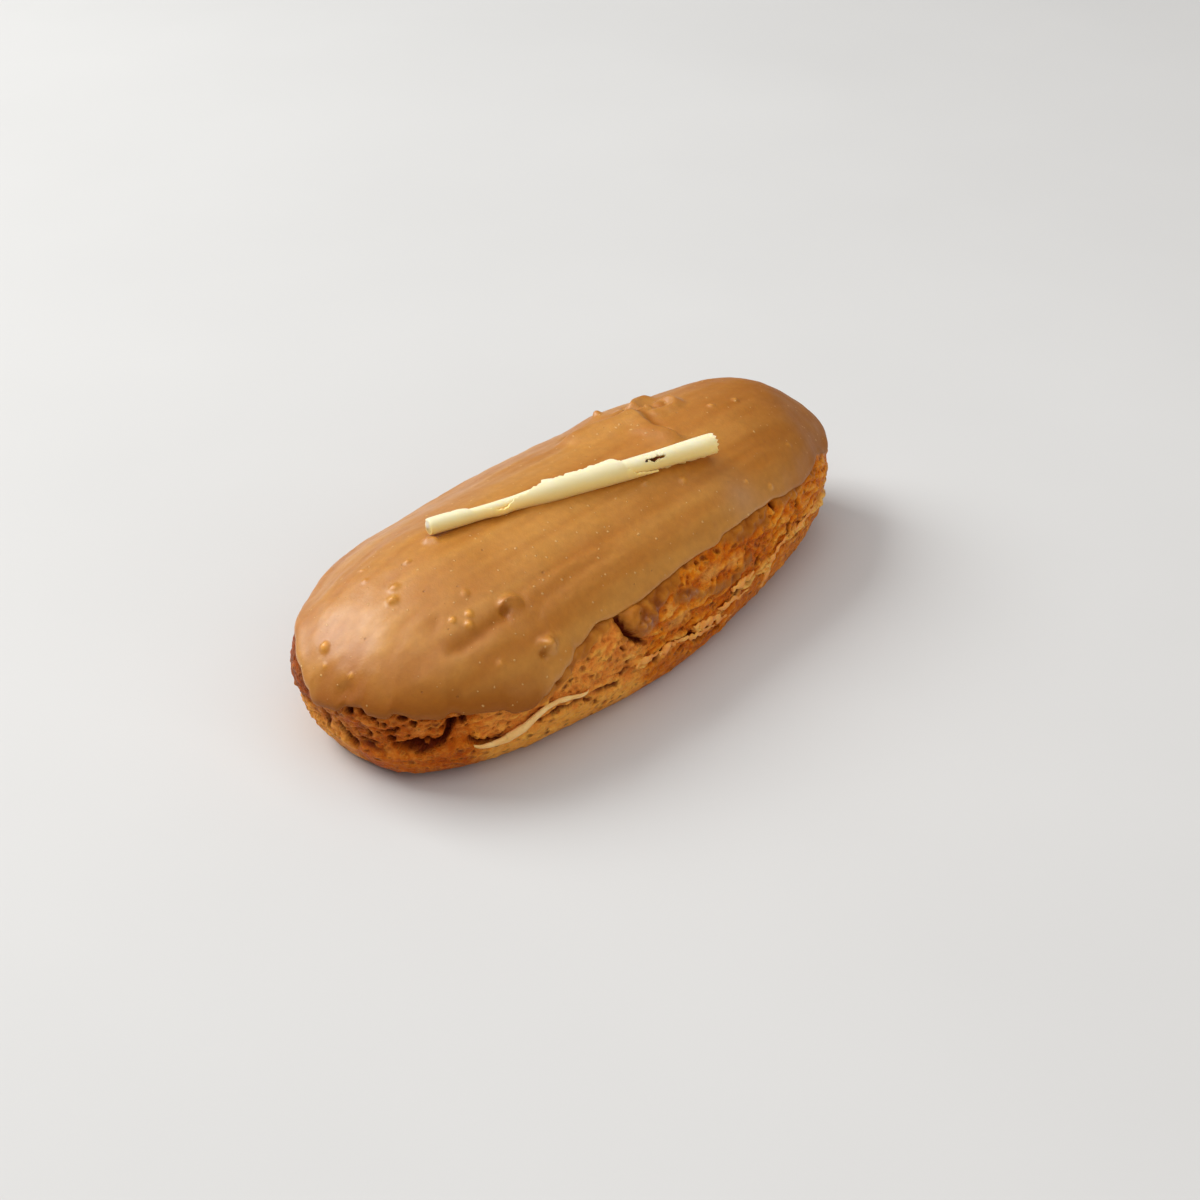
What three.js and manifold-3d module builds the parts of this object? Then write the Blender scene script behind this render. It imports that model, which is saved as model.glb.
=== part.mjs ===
// An iced choux eclair with a rolled white chocolate curl, in millimetres, +Z up, on its flat underside.
// The broad end is at -X and the slim end at +X. A station is the share of the way round the bun, seen from
// above: 0 at the slim end, 0.25 at the +Y flank, 0.5 at the broad end and 0.75 at the -Y flank.
import * as THREE from 'three';
import { ParametricGeometry } from 'three/addons/geometries/ParametricGeometry.js';
import { ImprovedNoise } from 'three/addons/math/ImprovedNoise.js';
import { mergeVertices } from 'three/addons/utils/BufferGeometryUtils.js';
import Module from 'manifold-3d';

// Bun
const BUN_LENGTH = 141.4;
const BUN_WIDTH = 57.8;
const BUN_HEIGHT = 33.6;
const BELLY_HEIGHT = 16.2;
const SPINE_LENGTH = 74;
const TAPER = 0.115;
const PLAN_POWER = 2.43;
const DOME_POWER = 1.85;
const FOOT_SHARES = [[0, 0.76], [0.12, 0.8], [0.3, 0.76], [0.38, 0.7], [0.5, 0.73], [0.62, 0.72],
  [0.75, 0.87], [0.88, 0.67], [1, 0.76]];
const CENTRE_SHIFT = 0.7;

// Baked relief of the bun
const SPLIT_LINE = [[0, 14], [0.15, 11], [0.3, 9.2], [0.42, 10], [0.5, 8.7], [0.57, 10.4], [0.61, 7.9],
  [0.66, 9.1], [0.73, 10], [0.78, 8.3], [0.84, 14], [0.88, 15.2], [1, 14]];
const SPLIT_DEPTH = 1.9;
const SPLIT_HALF_WIDTH = 1.7;
const CLEFT = { top: [0.688, 23.4], foot: [0.712, 12], depth: 1.6, halfWidth: 1.8 };
const CRAG_DEPTH = 1;
const CRAG_SIZE = 8;
const CHIP_DEPTH = 0.7;
const CHIP_SIZE = 4;
const FOOT_CLEAR = 2.5;
const EDGE_CLEAR = 2.5;

// Thread of pale dough across the split on the -Y flank
const THREAD = [[0.585, 8.3], [0.606, 8.1], [0.623, 10.4], [0.632, 12.3], [0.642, 12.7], [0.651, 11.5],
  [0.663, 11]];
const THREAD_WIDTH = 1.5;
const THREAD_LIFT = 0.15;
const THREAD_SIDES = 3;
const THREAD_STEPS = 22;

// Coffee icing
const ICING_EDGE = [[0, 19], [0.06, 21.5], [0.15, 20.5], [0.24, 23], [0.33, 21], [0.4, 22], [0.45, 20],
  [0.497, 14.6], [0.527, 17.8], [0.58, 16.8], [0.618, 13.7], [0.66, 22], [0.7, 23.6], [0.8, 24.9],
  [0.87, 22.5], [0.92, 22.2], [0.95, 18], [1, 19]];
const ICING_THICKNESS = 1.6;
const ICING_GAP = 0.3;
const ICING_BED = 0.25;
const EDGE_ROUND = 2.2;
const EDGE_RIPPLE = 1.1;
const EDGE_RIPPLE_STEPS = 26;
const EDGE_RIPPLE_FADE = 0.05;
const SWELL_HEIGHT = 0.3;
const SWELL_SIZE = 22;
const LUMPS = [[-55.7, -3.7, 0.7, 1.8], [-66.8, 4.1, 0.5, 1.6], [-40.9, -18.5, 1.1, 2.2],
  [-49, -16.2, 0.7, 2], [-39.3, -26.3, 1.1, 2.4]];
const FOLD = { from: [19, 3], to: [27, 21], height: 1.2, halfWidth: 2.2 };

// White chocolate curl
const CURL_LENGTH = 64;
const CURL_CENTRE = [-8.4, -5.3, 37.1];
const CURL_YAW = -17.8;
const CURL_CORE = [[0, 0.65], [0.2, 0.45], [0.4, 0.95], [0.75, 1], [1, 1]];
const CURL_FLAP = [[0, 0], [0.13, 10], [0.27, 60], [0.33, 150], [0.42, 175], [0.62, 180], [0.68, 80],
  [0.79, 40], [0.81, 0], [1, 0]];
const CURL_OVERLAP = 36;
const CURL_THICKNESS = 0.5;
const CURL_PITCH = 0.65;
const CURL_RIM = 0.15;
const CURL_CHIP = 1.2;
const CURL_CHIP_FADE = 8;
const HOLE = { along: 0.775, rise: 0.3, length: 4, height: 1, depth: 4, tilt: 12 };

// Fineness of the surfaces
const STATIONS = 120;
const BUN_ROWS = 24;
const BUN_ROWS_BELOW = 1;
const ICING_ROWS_INSIDE = 8;
const ICING_ROWS_OUTSIDE = 14;
const EDGE_CROWDING = 1.7;
const CURL_STATIONS = 30;
const CURL_STEPS = 20;
const WELD = 1e-4;
const SMALL_ANGLE = 1e-3;

const { clamp, degToRad, lerp, smoothstep } = THREE.MathUtils;
const QUARTER_TURN = Math.PI / 2;
const noise = new ImprovedNoise();
const wasm = await Module();
wasm.setup();

function signedPower(value, power) {
  return Math.sign(value) * Math.abs(value) ** power;
}

// A dip or rise of height 1 that fades out over about two half-widths
function bell(distance, halfWidth) {
  return Math.exp(-((distance / halfWidth) ** 2));
}

// The value at a place along a run of [place, value] stops, eased from each stop to the next
function between(stops, place) {
  const next = Math.max(1, stops.findIndex(([at]) => at >= place));
  const [start, first] = stops[next - 1];
  const [end, last] = stops[next];
  return lerp(first, last, smoothstep(place, start, end));
}

// The bun's outline at its widest level: a superellipse that narrows towards the slim end
class PlanOutline extends THREE.Curve {
  getPoint(turn, target = new THREE.Vector3()) {
    const angle = 2 * Math.PI * turn;
    const along = signedPower(Math.cos(angle), 2 / PLAN_POWER);
    const across = signedPower(Math.sin(angle), 2 / PLAN_POWER);
    return target.set(along * BUN_LENGTH / 2, across * BUN_WIDTH / 2 * (1 - TAPER * along), 0);
  }
}

const outline = new PlanOutline();
outline.arcLengthDivisions = 2000;
const PERIMETER = outline.getLength();

// Share of the full width, and height, at a latitude from a quarter turn below the belly to one above it
function sectionAt(latitude, footShare) {
  if (latitude < 0) {
    return [lerp(footShare, 1, Math.cos(latitude)), BELLY_HEIGHT * (1 + Math.sin(latitude))];
  }
  const rise = signedPower(Math.sin(latitude), 2 / DOME_POWER);
  return [signedPower(Math.cos(latitude), 2 / DOME_POWER), lerp(BELLY_HEIGHT, BUN_HEIGHT, rise)];
}

function latitudeAt(height) {
  const rise = (height - BELLY_HEIGHT) / (BUN_HEIGHT - BELLY_HEIGHT);
  return height < BELLY_HEIGHT
    ? Math.asin(height / BELLY_HEIGHT - 1)
    : Math.asin(rise ** (DOME_POWER / 2));
}

// A point on the bun's smooth skin, lifted square to it by a distance
function skinPoint(station, latitude, lift, target) {
  const rim = outline.getPointAt(station % 1);
  const spine = clamp(rim.x, -SPINE_LENGTH / 2, SPINE_LENGTH / 2);
  const reach = Math.hypot(rim.x - spine, rim.y);
  const foot = between(FOOT_SHARES, station % 1);
  const [share, height] = sectionAt(latitude, foot);
  const [shareBelow, heightBelow] = sectionAt(Math.max(latitude - SMALL_ANGLE, -QUARTER_TURN), foot);
  const [shareAbove, heightAbove] = sectionAt(latitude + SMALL_ANGLE, foot);
  const slope = new THREE.Vector2((shareAbove - shareBelow) * reach, heightAbove - heightBelow).normalize();
  const out = share * reach + lift * slope.y;
  const up = height - lift * slope.x;
  return target.set(spine + out * (rim.x - spine) / reach, out * rim.y / reach, up);
}

// Height of the icing's scalloped lower edge
function edgeHeight(station) {
  const ripple = noise.noise(station * EDGE_RIPPLE_STEPS, 0.5, 0.5);
  const closing = smoothstep(Math.min(station, 1 - station), 0, EDGE_RIPPLE_FADE);
  return between(ICING_EDGE, station) + EDGE_RIPPLE * ripple * closing;
}

// How far the baked crust dips below the smooth skin: the split, the cleft, crags and chips
function crustDip(station, point) {
  const split = SPLIT_DEPTH * bell(point.z - between(SPLIT_LINE, station), SPLIT_HALF_WIDTH);
  const [topStation, topHeight] = CLEFT.top;
  const [footStation, footHeight] = CLEFT.foot;
  const down = clamp((topHeight - point.z) / (topHeight - footHeight), 0, 1);
  const aside = (station - lerp(topStation, footStation, down)) * PERIMETER;
  const cleft = CLEFT.depth * (1 - down) * bell(aside, CLEFT.halfWidth);
  const crag = noise.noise(point.x / CRAG_SIZE, point.y / CRAG_SIZE, point.z / CRAG_SIZE);
  const chip = noise.noise(point.x / CHIP_SIZE, point.y / CHIP_SIZE, point.z / CHIP_SIZE);
  const rough = CRAG_DEPTH * crag + CHIP_DEPTH * chip;
  const bare = smoothstep(edgeHeight(station) - point.z, 0, EDGE_CLEAR);
  return lerp(ICING_BED, split + cleft + rough, bare) * smoothstep(point.z, 0, FOOT_CLEAR);
}

// Low swells, lumps and a fold on the icing's upper surface
function icingRelief(point) {
  let relief = SWELL_HEIGHT * noise.noise(point.x / SWELL_SIZE, point.y / SWELL_SIZE, 0);
  for (const [x, y, height, halfWidth] of LUMPS) {
    relief += height * bell(Math.hypot(point.x - x, point.y - y), halfWidth);
  }
  const fold = new THREE.Line3(new THREE.Vector3(...FOLD.from, 0), new THREE.Vector3(...FOLD.to, 0));
  const flat = new THREE.Vector3(point.x, point.y, 0);
  const nearest = fold.closestPointToPoint(flat, true, new THREE.Vector3());
  return relief + FOLD.height * bell(nearest.distanceTo(flat), FOLD.halfWidth);
}

// Joins a surface along its seams and poles, and drops the triangles that close up there
function weld(surface) {
  surface.deleteAttribute('normal');
  surface.deleteAttribute('uv');
  const welded = mergeVertices(surface, WELD);
  const corners = Array.from(welded.index.array);
  const kept = [];
  for (let first = 0; first < corners.length; first += 3) {
    const triangle = corners.slice(first, first + 3);
    if (new Set(triangle).size === 3) kept.push(...triangle);
  }
  return welded.setIndex(kept);
}

function toSolid(geometry) {
  const vertProperties = new Float32Array(geometry.attributes.position.array);
  const triVerts = new Uint32Array(geometry.index.array);
  return new wasm.Manifold(new wasm.Mesh({ numProp: 3, vertProperties, triVerts }));
}

function toGeometry(solid) {
  const { vertProperties, triVerts } = solid.getMesh();
  const geometry = new THREE.BufferGeometry();
  geometry.setAttribute('position', new THREE.BufferAttribute(vertProperties, 3));
  return geometry.setIndex(new THREE.BufferAttribute(triVerts, 1));
}

function namedMesh(name, geometry, color, roughness) {
  const mesh = new THREE.Mesh(geometry, new THREE.MeshStandardMaterial({ color, roughness, metalness: 0 }));
  mesh.name = name;
  return mesh;
}

// The baked bun: a flat underside, then rows of latitude up to the crest
function crustGeometry() {
  const place = (station, climb, target) => {
    const row = Math.round(climb * BUN_ROWS);
    if (row < BUN_ROWS_BELOW) {
      const foot = skinPoint(station, -QUARTER_TURN, 0, target);
      const spine = clamp(foot.x, -SPINE_LENGTH / 2, SPINE_LENGTH / 2);
      return target.set(spine, 0, 0);
    }
    const rise = (row - BUN_ROWS_BELOW) / (BUN_ROWS - BUN_ROWS_BELOW);
    const latitude = lerp(-QUARTER_TURN, QUARTER_TURN, rise);
    const dip = crustDip(station % 1, skinPoint(station, latitude, 0, target));
    return skinPoint(station, latitude, -dip, target);
  };
  return weld(new ParametricGeometry(place, STATIONS, BUN_ROWS));
}

// The thread of dough, sunk into the crust at both ends
function threadGeometry() {
  const route = THREAD.map(([station, height], order) => {
    const inner = order > 0 && order < THREAD.length - 1;
    const lift = inner ? THREAD_LIFT : -THREAD_WIDTH;
    return skinPoint(station, latitudeAt(height), lift, new THREE.Vector3());
  });
  const section = new THREE.Shape();
  section.absarc(0, 0, THREAD_WIDTH / 2, 0, 2 * Math.PI);
  const tube = new THREE.ExtrudeGeometry(section, {
    extrudePath: new THREE.CatmullRomCurve3(route),
    steps: THREAD_STEPS,
    curveSegments: THREAD_SIDES,
  });
  return weld(tube);
}

// The icing: a skin that runs down inside from the crest to its edge, and back up outside
function icingGeometry() {
  const rows = ICING_ROWS_INSIDE + ICING_ROWS_OUTSIDE;
  const place = (station, climb, target) => {
    const row = Math.round(climb * rows) - ICING_ROWS_INSIDE;
    const lowest = latitudeAt(edgeHeight(station % 1));
    if (row <= 0) {
      const latitude = lerp(lowest, QUARTER_TURN, -row / ICING_ROWS_INSIDE);
      return skinPoint(station, latitude, ICING_GAP, target);
    }
    const latitude = lerp(lowest, QUARTER_TURN, (row / ICING_ROWS_OUTSIDE) ** EDGE_CROWDING);
    const point = skinPoint(station, latitude, 0, target);
    const fromEdge = point.distanceTo(skinPoint(station, lowest, 0, new THREE.Vector3()));
    const flattening = 1 - Math.min(1, fromEdge / EDGE_ROUND);
    const thickness = ICING_THICKNESS + icingRelief(point);
    const lift = lerp(ICING_GAP, thickness, Math.sqrt(1 - flattening ** 2));
    return skinPoint(station, latitude, lift, target);
  };
  return weld(new ParametricGeometry(place, STATIONS, rows));
}

// The curl's sheet, rolled about X: out along its outer face from the inner edge, back along its inner face
function curlSheet() {
  const loop = 2 * CURL_STEPS + 2;
  const place = (share, round, target) => {
    const station = Math.round(share * CURL_STATIONS);
    const along = clamp((station - 1) / (CURL_STATIONS - 2), 0, 1);
    const step = Math.round(round * loop) % loop;
    const outside = step <= CURL_STEPS;
    const wound = (outside ? step : loop - 1 - step) / CURL_STEPS;
    const turns = wound * (1 + (CURL_OVERLAP + between(CURL_FLAP, along)) / 360);
    const angle = 2 * Math.PI * (turns - CURL_OVERLAP / 360);
    const atRim = station === 0 || station === CURL_STATIONS;
    const toFace = atRim ? 0 : CURL_THICKNESS / 2 * (outside ? 1 : -1);
    const radius = between(CURL_CORE, along) + CURL_PITCH * turns + toFace;
    const end = Math.sign(along - 0.5);
    const chip = -end * CURL_CHIP * noise.noise(Math.cos(angle), Math.sin(angle), 0.5);
    const body = (along - 0.5) * (CURL_LENGTH - 2 * CURL_RIM);
    const rim = atRim ? end * CURL_RIM : 0;
    const nearEnd = Math.abs(2 * along - 1) ** CURL_CHIP_FADE;
    return target.set(body + rim + chip * nearEnd, -radius * Math.sin(angle), -radius * Math.cos(angle));
  };
  return weld(new ParametricGeometry(place, CURL_STATIONS, loop));
}

// A ragged hole through the curl's -Y wall, into its hollow
function holeCutter() {
  const shape = new THREE.Shape();
  shape.moveTo(-HOLE.length / 2, -HOLE.height * 0.2);
  shape.lineTo(-HOLE.length * 0.1, -HOLE.height / 2);
  shape.lineTo(HOLE.length / 2, HOLE.height * 0.1);
  shape.lineTo(HOLE.length * 0.2, HOLE.height / 2);
  shape.lineTo(-HOLE.length * 0.2, HOLE.height * 0.3);
  const cutter = new THREE.ExtrudeGeometry(shape, { depth: HOLE.depth, bevelEnabled: false });
  cutter.rotateZ(degToRad(HOLE.tilt));
  cutter.rotateX(QUARTER_TURN);
  cutter.translate((HOLE.along - 0.5) * CURL_LENGTH, 0, HOLE.rise);
  return weld(cutter);
}

const bun = toSolid(crustGeometry()).add(toSolid(threadGeometry()));
const roll = toSolid(curlSheet()).subtract(toSolid(holeCutter()));

const curl = namedMesh('white_chocolate_curl', toGeometry(roll), 0xf3e9c2, 0.45);
curl.position.set(...CURL_CENTRE);
curl.rotation.z = degToRad(CURL_YAW);

// The icing laps further over the broad end, so a small shift brings the middle of the length to the origin
const eclair = new THREE.Group();
eclair.position.x = CENTRE_SHIFT;
eclair.add(namedMesh('choux_bun', toGeometry(bun), 0xb8742f, 0.75));
eclair.add(namedMesh('coffee_icing', icingGeometry(), 0xb0763c, 0.4));
eclair.add(curl);

export default eclair;
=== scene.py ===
"""Dresses an iced choux eclair: its craggy crust, coffee icing, dough thread and white chocolate curl."""

import logging
import math
from dataclasses import dataclass
from enum import Enum
from functools import cached_property
from typing import Union

import bpy
import numpy as np
from bpy.types import Material, Mesh, Node, NodeSocket, NodeTree, Object
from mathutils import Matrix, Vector


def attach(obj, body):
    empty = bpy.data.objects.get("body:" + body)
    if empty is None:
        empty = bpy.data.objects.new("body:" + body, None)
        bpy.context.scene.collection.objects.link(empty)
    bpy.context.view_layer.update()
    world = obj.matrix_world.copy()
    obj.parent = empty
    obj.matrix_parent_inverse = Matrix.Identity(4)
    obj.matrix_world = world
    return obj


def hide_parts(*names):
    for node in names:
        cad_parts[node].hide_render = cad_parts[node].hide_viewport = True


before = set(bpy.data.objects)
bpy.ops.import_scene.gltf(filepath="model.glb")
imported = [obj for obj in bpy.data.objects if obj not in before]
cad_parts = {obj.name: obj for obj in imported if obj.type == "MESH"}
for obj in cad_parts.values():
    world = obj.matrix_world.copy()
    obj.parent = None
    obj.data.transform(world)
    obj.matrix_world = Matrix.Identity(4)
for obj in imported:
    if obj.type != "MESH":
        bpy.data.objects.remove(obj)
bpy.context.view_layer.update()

LOG = logging.getLogger("eclair")
MM = 0.001
WELD = 1e-4

Array = np.ndarray
Colour = tuple[float, float, float, float]
Pair = tuple[float, float]
Triple = tuple[float, float, float]
Stops = tuple[Pair, ...]
Socket = NodeSocket
Feed = Union[Socket, float, tuple[float, ...]]
Inputs = dict[Union[str, int], Feed]


class CadNode(Enum):
    """The solids of the frame that fine pieces stand for."""

    BUN = "choux_bun"
    ICING = "coffee_icing"
    CURL = "white_chocolate_curl"


class Slot(Enum):
    """The record's material slots."""

    CRUST = "choux_crust"
    ICING = "coffee_icing"
    CHOCOLATE = "white_chocolate"


class Mask(Enum):
    """Names of the surface masks that a mesh carries for its material."""

    # Painted shade in the crust's pores, holes and cleft, and darker along its left rim.
    CAVITY_SHADE = "cavity"
    # Painted shade and highlight from the crust's relief, with random tone.
    SHADE_AND_TONE = "rise"
    PALE = "pale"
    BROWN = "brown"
    BLUSH = "blush"
    LOWER = "lower"
    FILM = "film"
    WET = "wet"
    STREAK = "streak"
    # The icing's amber where it pools near its edge, and painted shade in that amber in its dents and grooves
    # and towards the far end.
    AMBER_AND_SHADE = "pool"
    BLOOM = "bloom"
    NUB = "nub"
    # Painted shade in icing brown on the curl's inner wall, seen through its hole.
    HOLE_SHADE = "stain"
    # Painted light: 1 on the curl's upper side, which is coloured whiter.
    TOP = "top"


Masks = dict[Mask, Array]


class Seed(Enum):
    """Seeds of the noise that shapes each piece."""

    EDGE = 7
    CRUST = 11
    ICING = 23
    STRANDS = 31
    CURL = 43


def srgb(red: int, green: int, blue: int) -> Colour:
    """Turns a display colour into a linear one.

    Args:
        red: Red from 0 to 255.
        green: Green from 0 to 255.
        blue: Blue from 0 to 255.

    Returns:
        Linear red, green, blue and an alpha of 1.
    """
    shares = [channel / 255 for channel in (red, green, blue)]
    linear = [s / 12.92 if s <= 0.04045 else ((s + 0.055) / 1.055) ** 2.4 for s in shares]
    return (linear[0], linear[1], linear[2], 1.0)


def per_mm(size: float) -> float:
    """Texture scale at which one cell of a pattern is some millimetres wide."""
    return 1 / (size * MM)


def ease(low: float, high: float, value: Array) -> Array:
    """Rises smoothly from 0 where value is low to 1 where it is high.

    Args:
        low: Value that gives 0.
        high: Value that gives 1, which may be the smaller of the two.
        value: Values to ease.

    Returns:
        Eased shares from 0 to 1.
    """
    share = np.clip((value - low) / (high - low), 0, 1)
    return share * share * (3 - 2 * share)


def bell(distance: Array, half_width: float) -> Array:
    """A hump of height 1 that fades out over about two half-widths."""
    return np.exp(-((distance / half_width) ** 2))


def span(low: float, high: float, fade: float, value: Array) -> Array:
    """1 between low and high, fading to 0 over a distance outside them."""
    return ease(low - fade, low, value) * ease(high + fade, high, value)


def follow(stops: Stops, place: Array) -> Array:
    """Reads a run of (place, value) stops, eased from each stop to the next.

    Args:
        stops: Places in rising order, each with its value.
        place: Places to read at.

    Returns:
        The values there.
    """
    places = np.array([stop[0] for stop in stops])
    values = np.array([stop[1] for stop in stops])
    after = np.clip(np.searchsorted(places, place), 1, len(stops) - 1)
    share = np.clip((place - places[after - 1]) / (places[after] - places[after - 1]), 0, 1)
    return values[after - 1] + (values[after] - values[after - 1]) * share * share * (3 - 2 * share)


@dataclass(frozen=True)
class Layer:
    """One layer of uneven relief: its height, and the distance over which it changes."""

    height: float
    size: float


Layers = tuple[Layer, ...]


@dataclass(frozen=True)
class Pitting:
    """Scattered pits: width of a cell, radius of the largest pit, share of cells that hold one, and depth."""

    cell: float
    radius: float
    share: float
    depth: float


class ReliefNoise:
    """Seeded noise over points in millimetres: smooth gradient noise, and cells for pores."""

    TABLE = 256
    GAIN = 1.6
    FOLD_GAIN = 2.4
    FOLD_DROP = 0.7
    SMALLEST_PIT = 0.45

    def __init__(self, seed: Seed) -> None:
        """Draws the tables that the noise is read from.

        Args:
            seed: Seed of the draws.
        """
        draw = np.random.default_rng(seed.value)
        self._order = np.tile(draw.permutation(self.TABLE), 3)
        slopes = draw.normal(size=(self.TABLE, 3))
        self._slopes = slopes / np.linalg.norm(slopes, axis=1, keepdims=True)
        self._seats = draw.random((self.TABLE, 3))
        self._chances = draw.random(self.TABLE)

    def _key(self, cell: Array) -> Array:
        """Table row of each lattice cell."""
        x, y, z = np.moveaxis(cell % self.TABLE, -1, 0)
        return self._order[self._order[self._order[x] + y] + z]

    def wave(self, points: Array, size: float) -> Array:
        """Smooth noise from about -1 to 1.

        Args:
            points: Points, with their three coordinates last.
            size: Distance over which the noise changes.

        Returns:
            One value a point.
        """
        scaled = points / size
        cell = np.floor(scaled).astype(int)
        inside = scaled - cell
        eased = inside**3 * (inside * (inside * 6 - 15) + 10)
        total = np.zeros(points.shape[:-1])
        for corner in np.ndindex(2, 2, 2):
            step = np.array(corner)
            slope = self._slopes[self._key(cell + step)]
            weight = np.prod(np.where(step, eased, 1 - eased), axis=-1)
            total += weight * np.sum(slope * (inside - step), axis=-1)
        return self.GAIN * total

    def waves(self, points: Array, layers: Layers) -> Array:
        """Sum of some layers of smooth noise, each at its own height and size."""
        return sum(layer.height * self.wave(points, layer.size) for layer in layers)

    def crests(self, points: Array, layer: Layer) -> Array:
        """Noise with sharp crests and round hollows."""
        return layer.height * (1 - 2 * np.abs(self.wave(points, layer.size)))

    def folds(self, points: Array, layer: Layer) -> Array:
        """Noise with round tops and sharp creases between them."""
        return layer.height * (self.FOLD_GAIN * np.abs(self.wave(points, layer.size)) - self.FOLD_DROP)

    def pits(self, points: Array, pitting: Pitting) -> Array:
        """Round pits scattered one to a cell.

        Args:
            points: Points, with their three coordinates last.
            pitting: Size, share and depth of the pits.

        Returns:
            Depth at each point.
        """
        scaled = points / pitting.cell
        cell = np.floor(scaled).astype(int)
        inside = scaled - cell
        deepest = np.zeros(points.shape[:-1])
        for corner in np.ndindex(3, 3, 3):
            step = np.array(corner) - 1
            key = self._key(cell + step)
            gap = np.linalg.norm(step + self._seats[key] - inside, axis=-1) * pitting.cell
            chance = self._chances[key]
            growth = (1 - self.SMALLEST_PIT) * chance / pitting.share
            width = pitting.radius * (self.SMALLEST_PIT + growth)
            deepest = np.maximum(deepest, np.where(chance < pitting.share, bell(gap, width), 0))
        return pitting.depth * deepest


def write_mask(mesh: Mesh, mask: Mask, values: Array) -> None:
    """Stores one value a point on a mesh, for its material to read.

    Args:
        mesh: The mesh.
        mask: The mask that the values belong to.
        values: Values in the order of the mesh's points.
    """
    layer = mesh.attributes.get(mask.value)
    if layer is None:
        layer = mesh.attributes.new(mask.value, "FLOAT", "POINT")
    layer.data.foreach_set("value", values.reshape(-1).astype(np.float32))


def make_piece(name: str, points: Array, masks: Masks) -> Object:
    """Makes a closed piece from rows of points that run round rings, welded where they meet.

    Args:
        name: Name of the piece.
        points: Rows of points in millimetres, shaped rows by columns by 3.
        masks: Values from 0 to 1 for each point.

    Returns:
        The piece, in metres, in the scene's collection.
    """
    rows, columns = points.shape[:2]
    flat = points.reshape(-1, 3)
    _, first, same = np.unique(np.round(flat / WELD), axis=0, return_index=True, return_inverse=True)
    order = np.arange(rows * columns).reshape(rows, columns)
    onward = np.roll(order, -1, axis=1)
    quads = np.stack([order[:-1], onward[:-1], onward[1:], order[1:]], axis=-1).reshape(-1, 4)
    corners = [list(dict.fromkeys(quad)) for quad in same.reshape(-1)[quads].tolist()]
    mesh = bpy.data.meshes.new(name)
    mesh.from_pydata((flat[first] * MM).tolist(), [], [face for face in corners if len(face) > 2])
    for mask, values in masks.items():
        write_mask(mesh, mask, values.reshape(-1)[first])
    return add_object(name, mesh)


def add_object(name: str, mesh: Mesh) -> Object:
    """Puts a smooth-shaded mesh into the scene as an object.

    Args:
        name: Name of the object.
        mesh: Its mesh.

    Returns:
        The object.
    """
    mesh.shade_smooth()
    piece = bpy.data.objects.new(name, mesh)
    bpy.context.scene.collection.objects.link(piece)
    return piece


def dress(piece: Object, material: Material, slot: Slot, *nodes: CadNode) -> None:
    """Gives a piece its material and body, and hides the solids that it stands for.

    Args:
        piece: The finished piece.
        material: Its material.
        slot: The record's slot for its finish; not used.
        nodes: The solids that it replaces, if any.
    """
    piece.data.materials.append(material)
    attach(piece, "root")
    if nodes:
        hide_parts(*[node.value for node in nodes])
    LOG.info("%s: %d faces", piece.name, len(piece.data.polygons))


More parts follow.
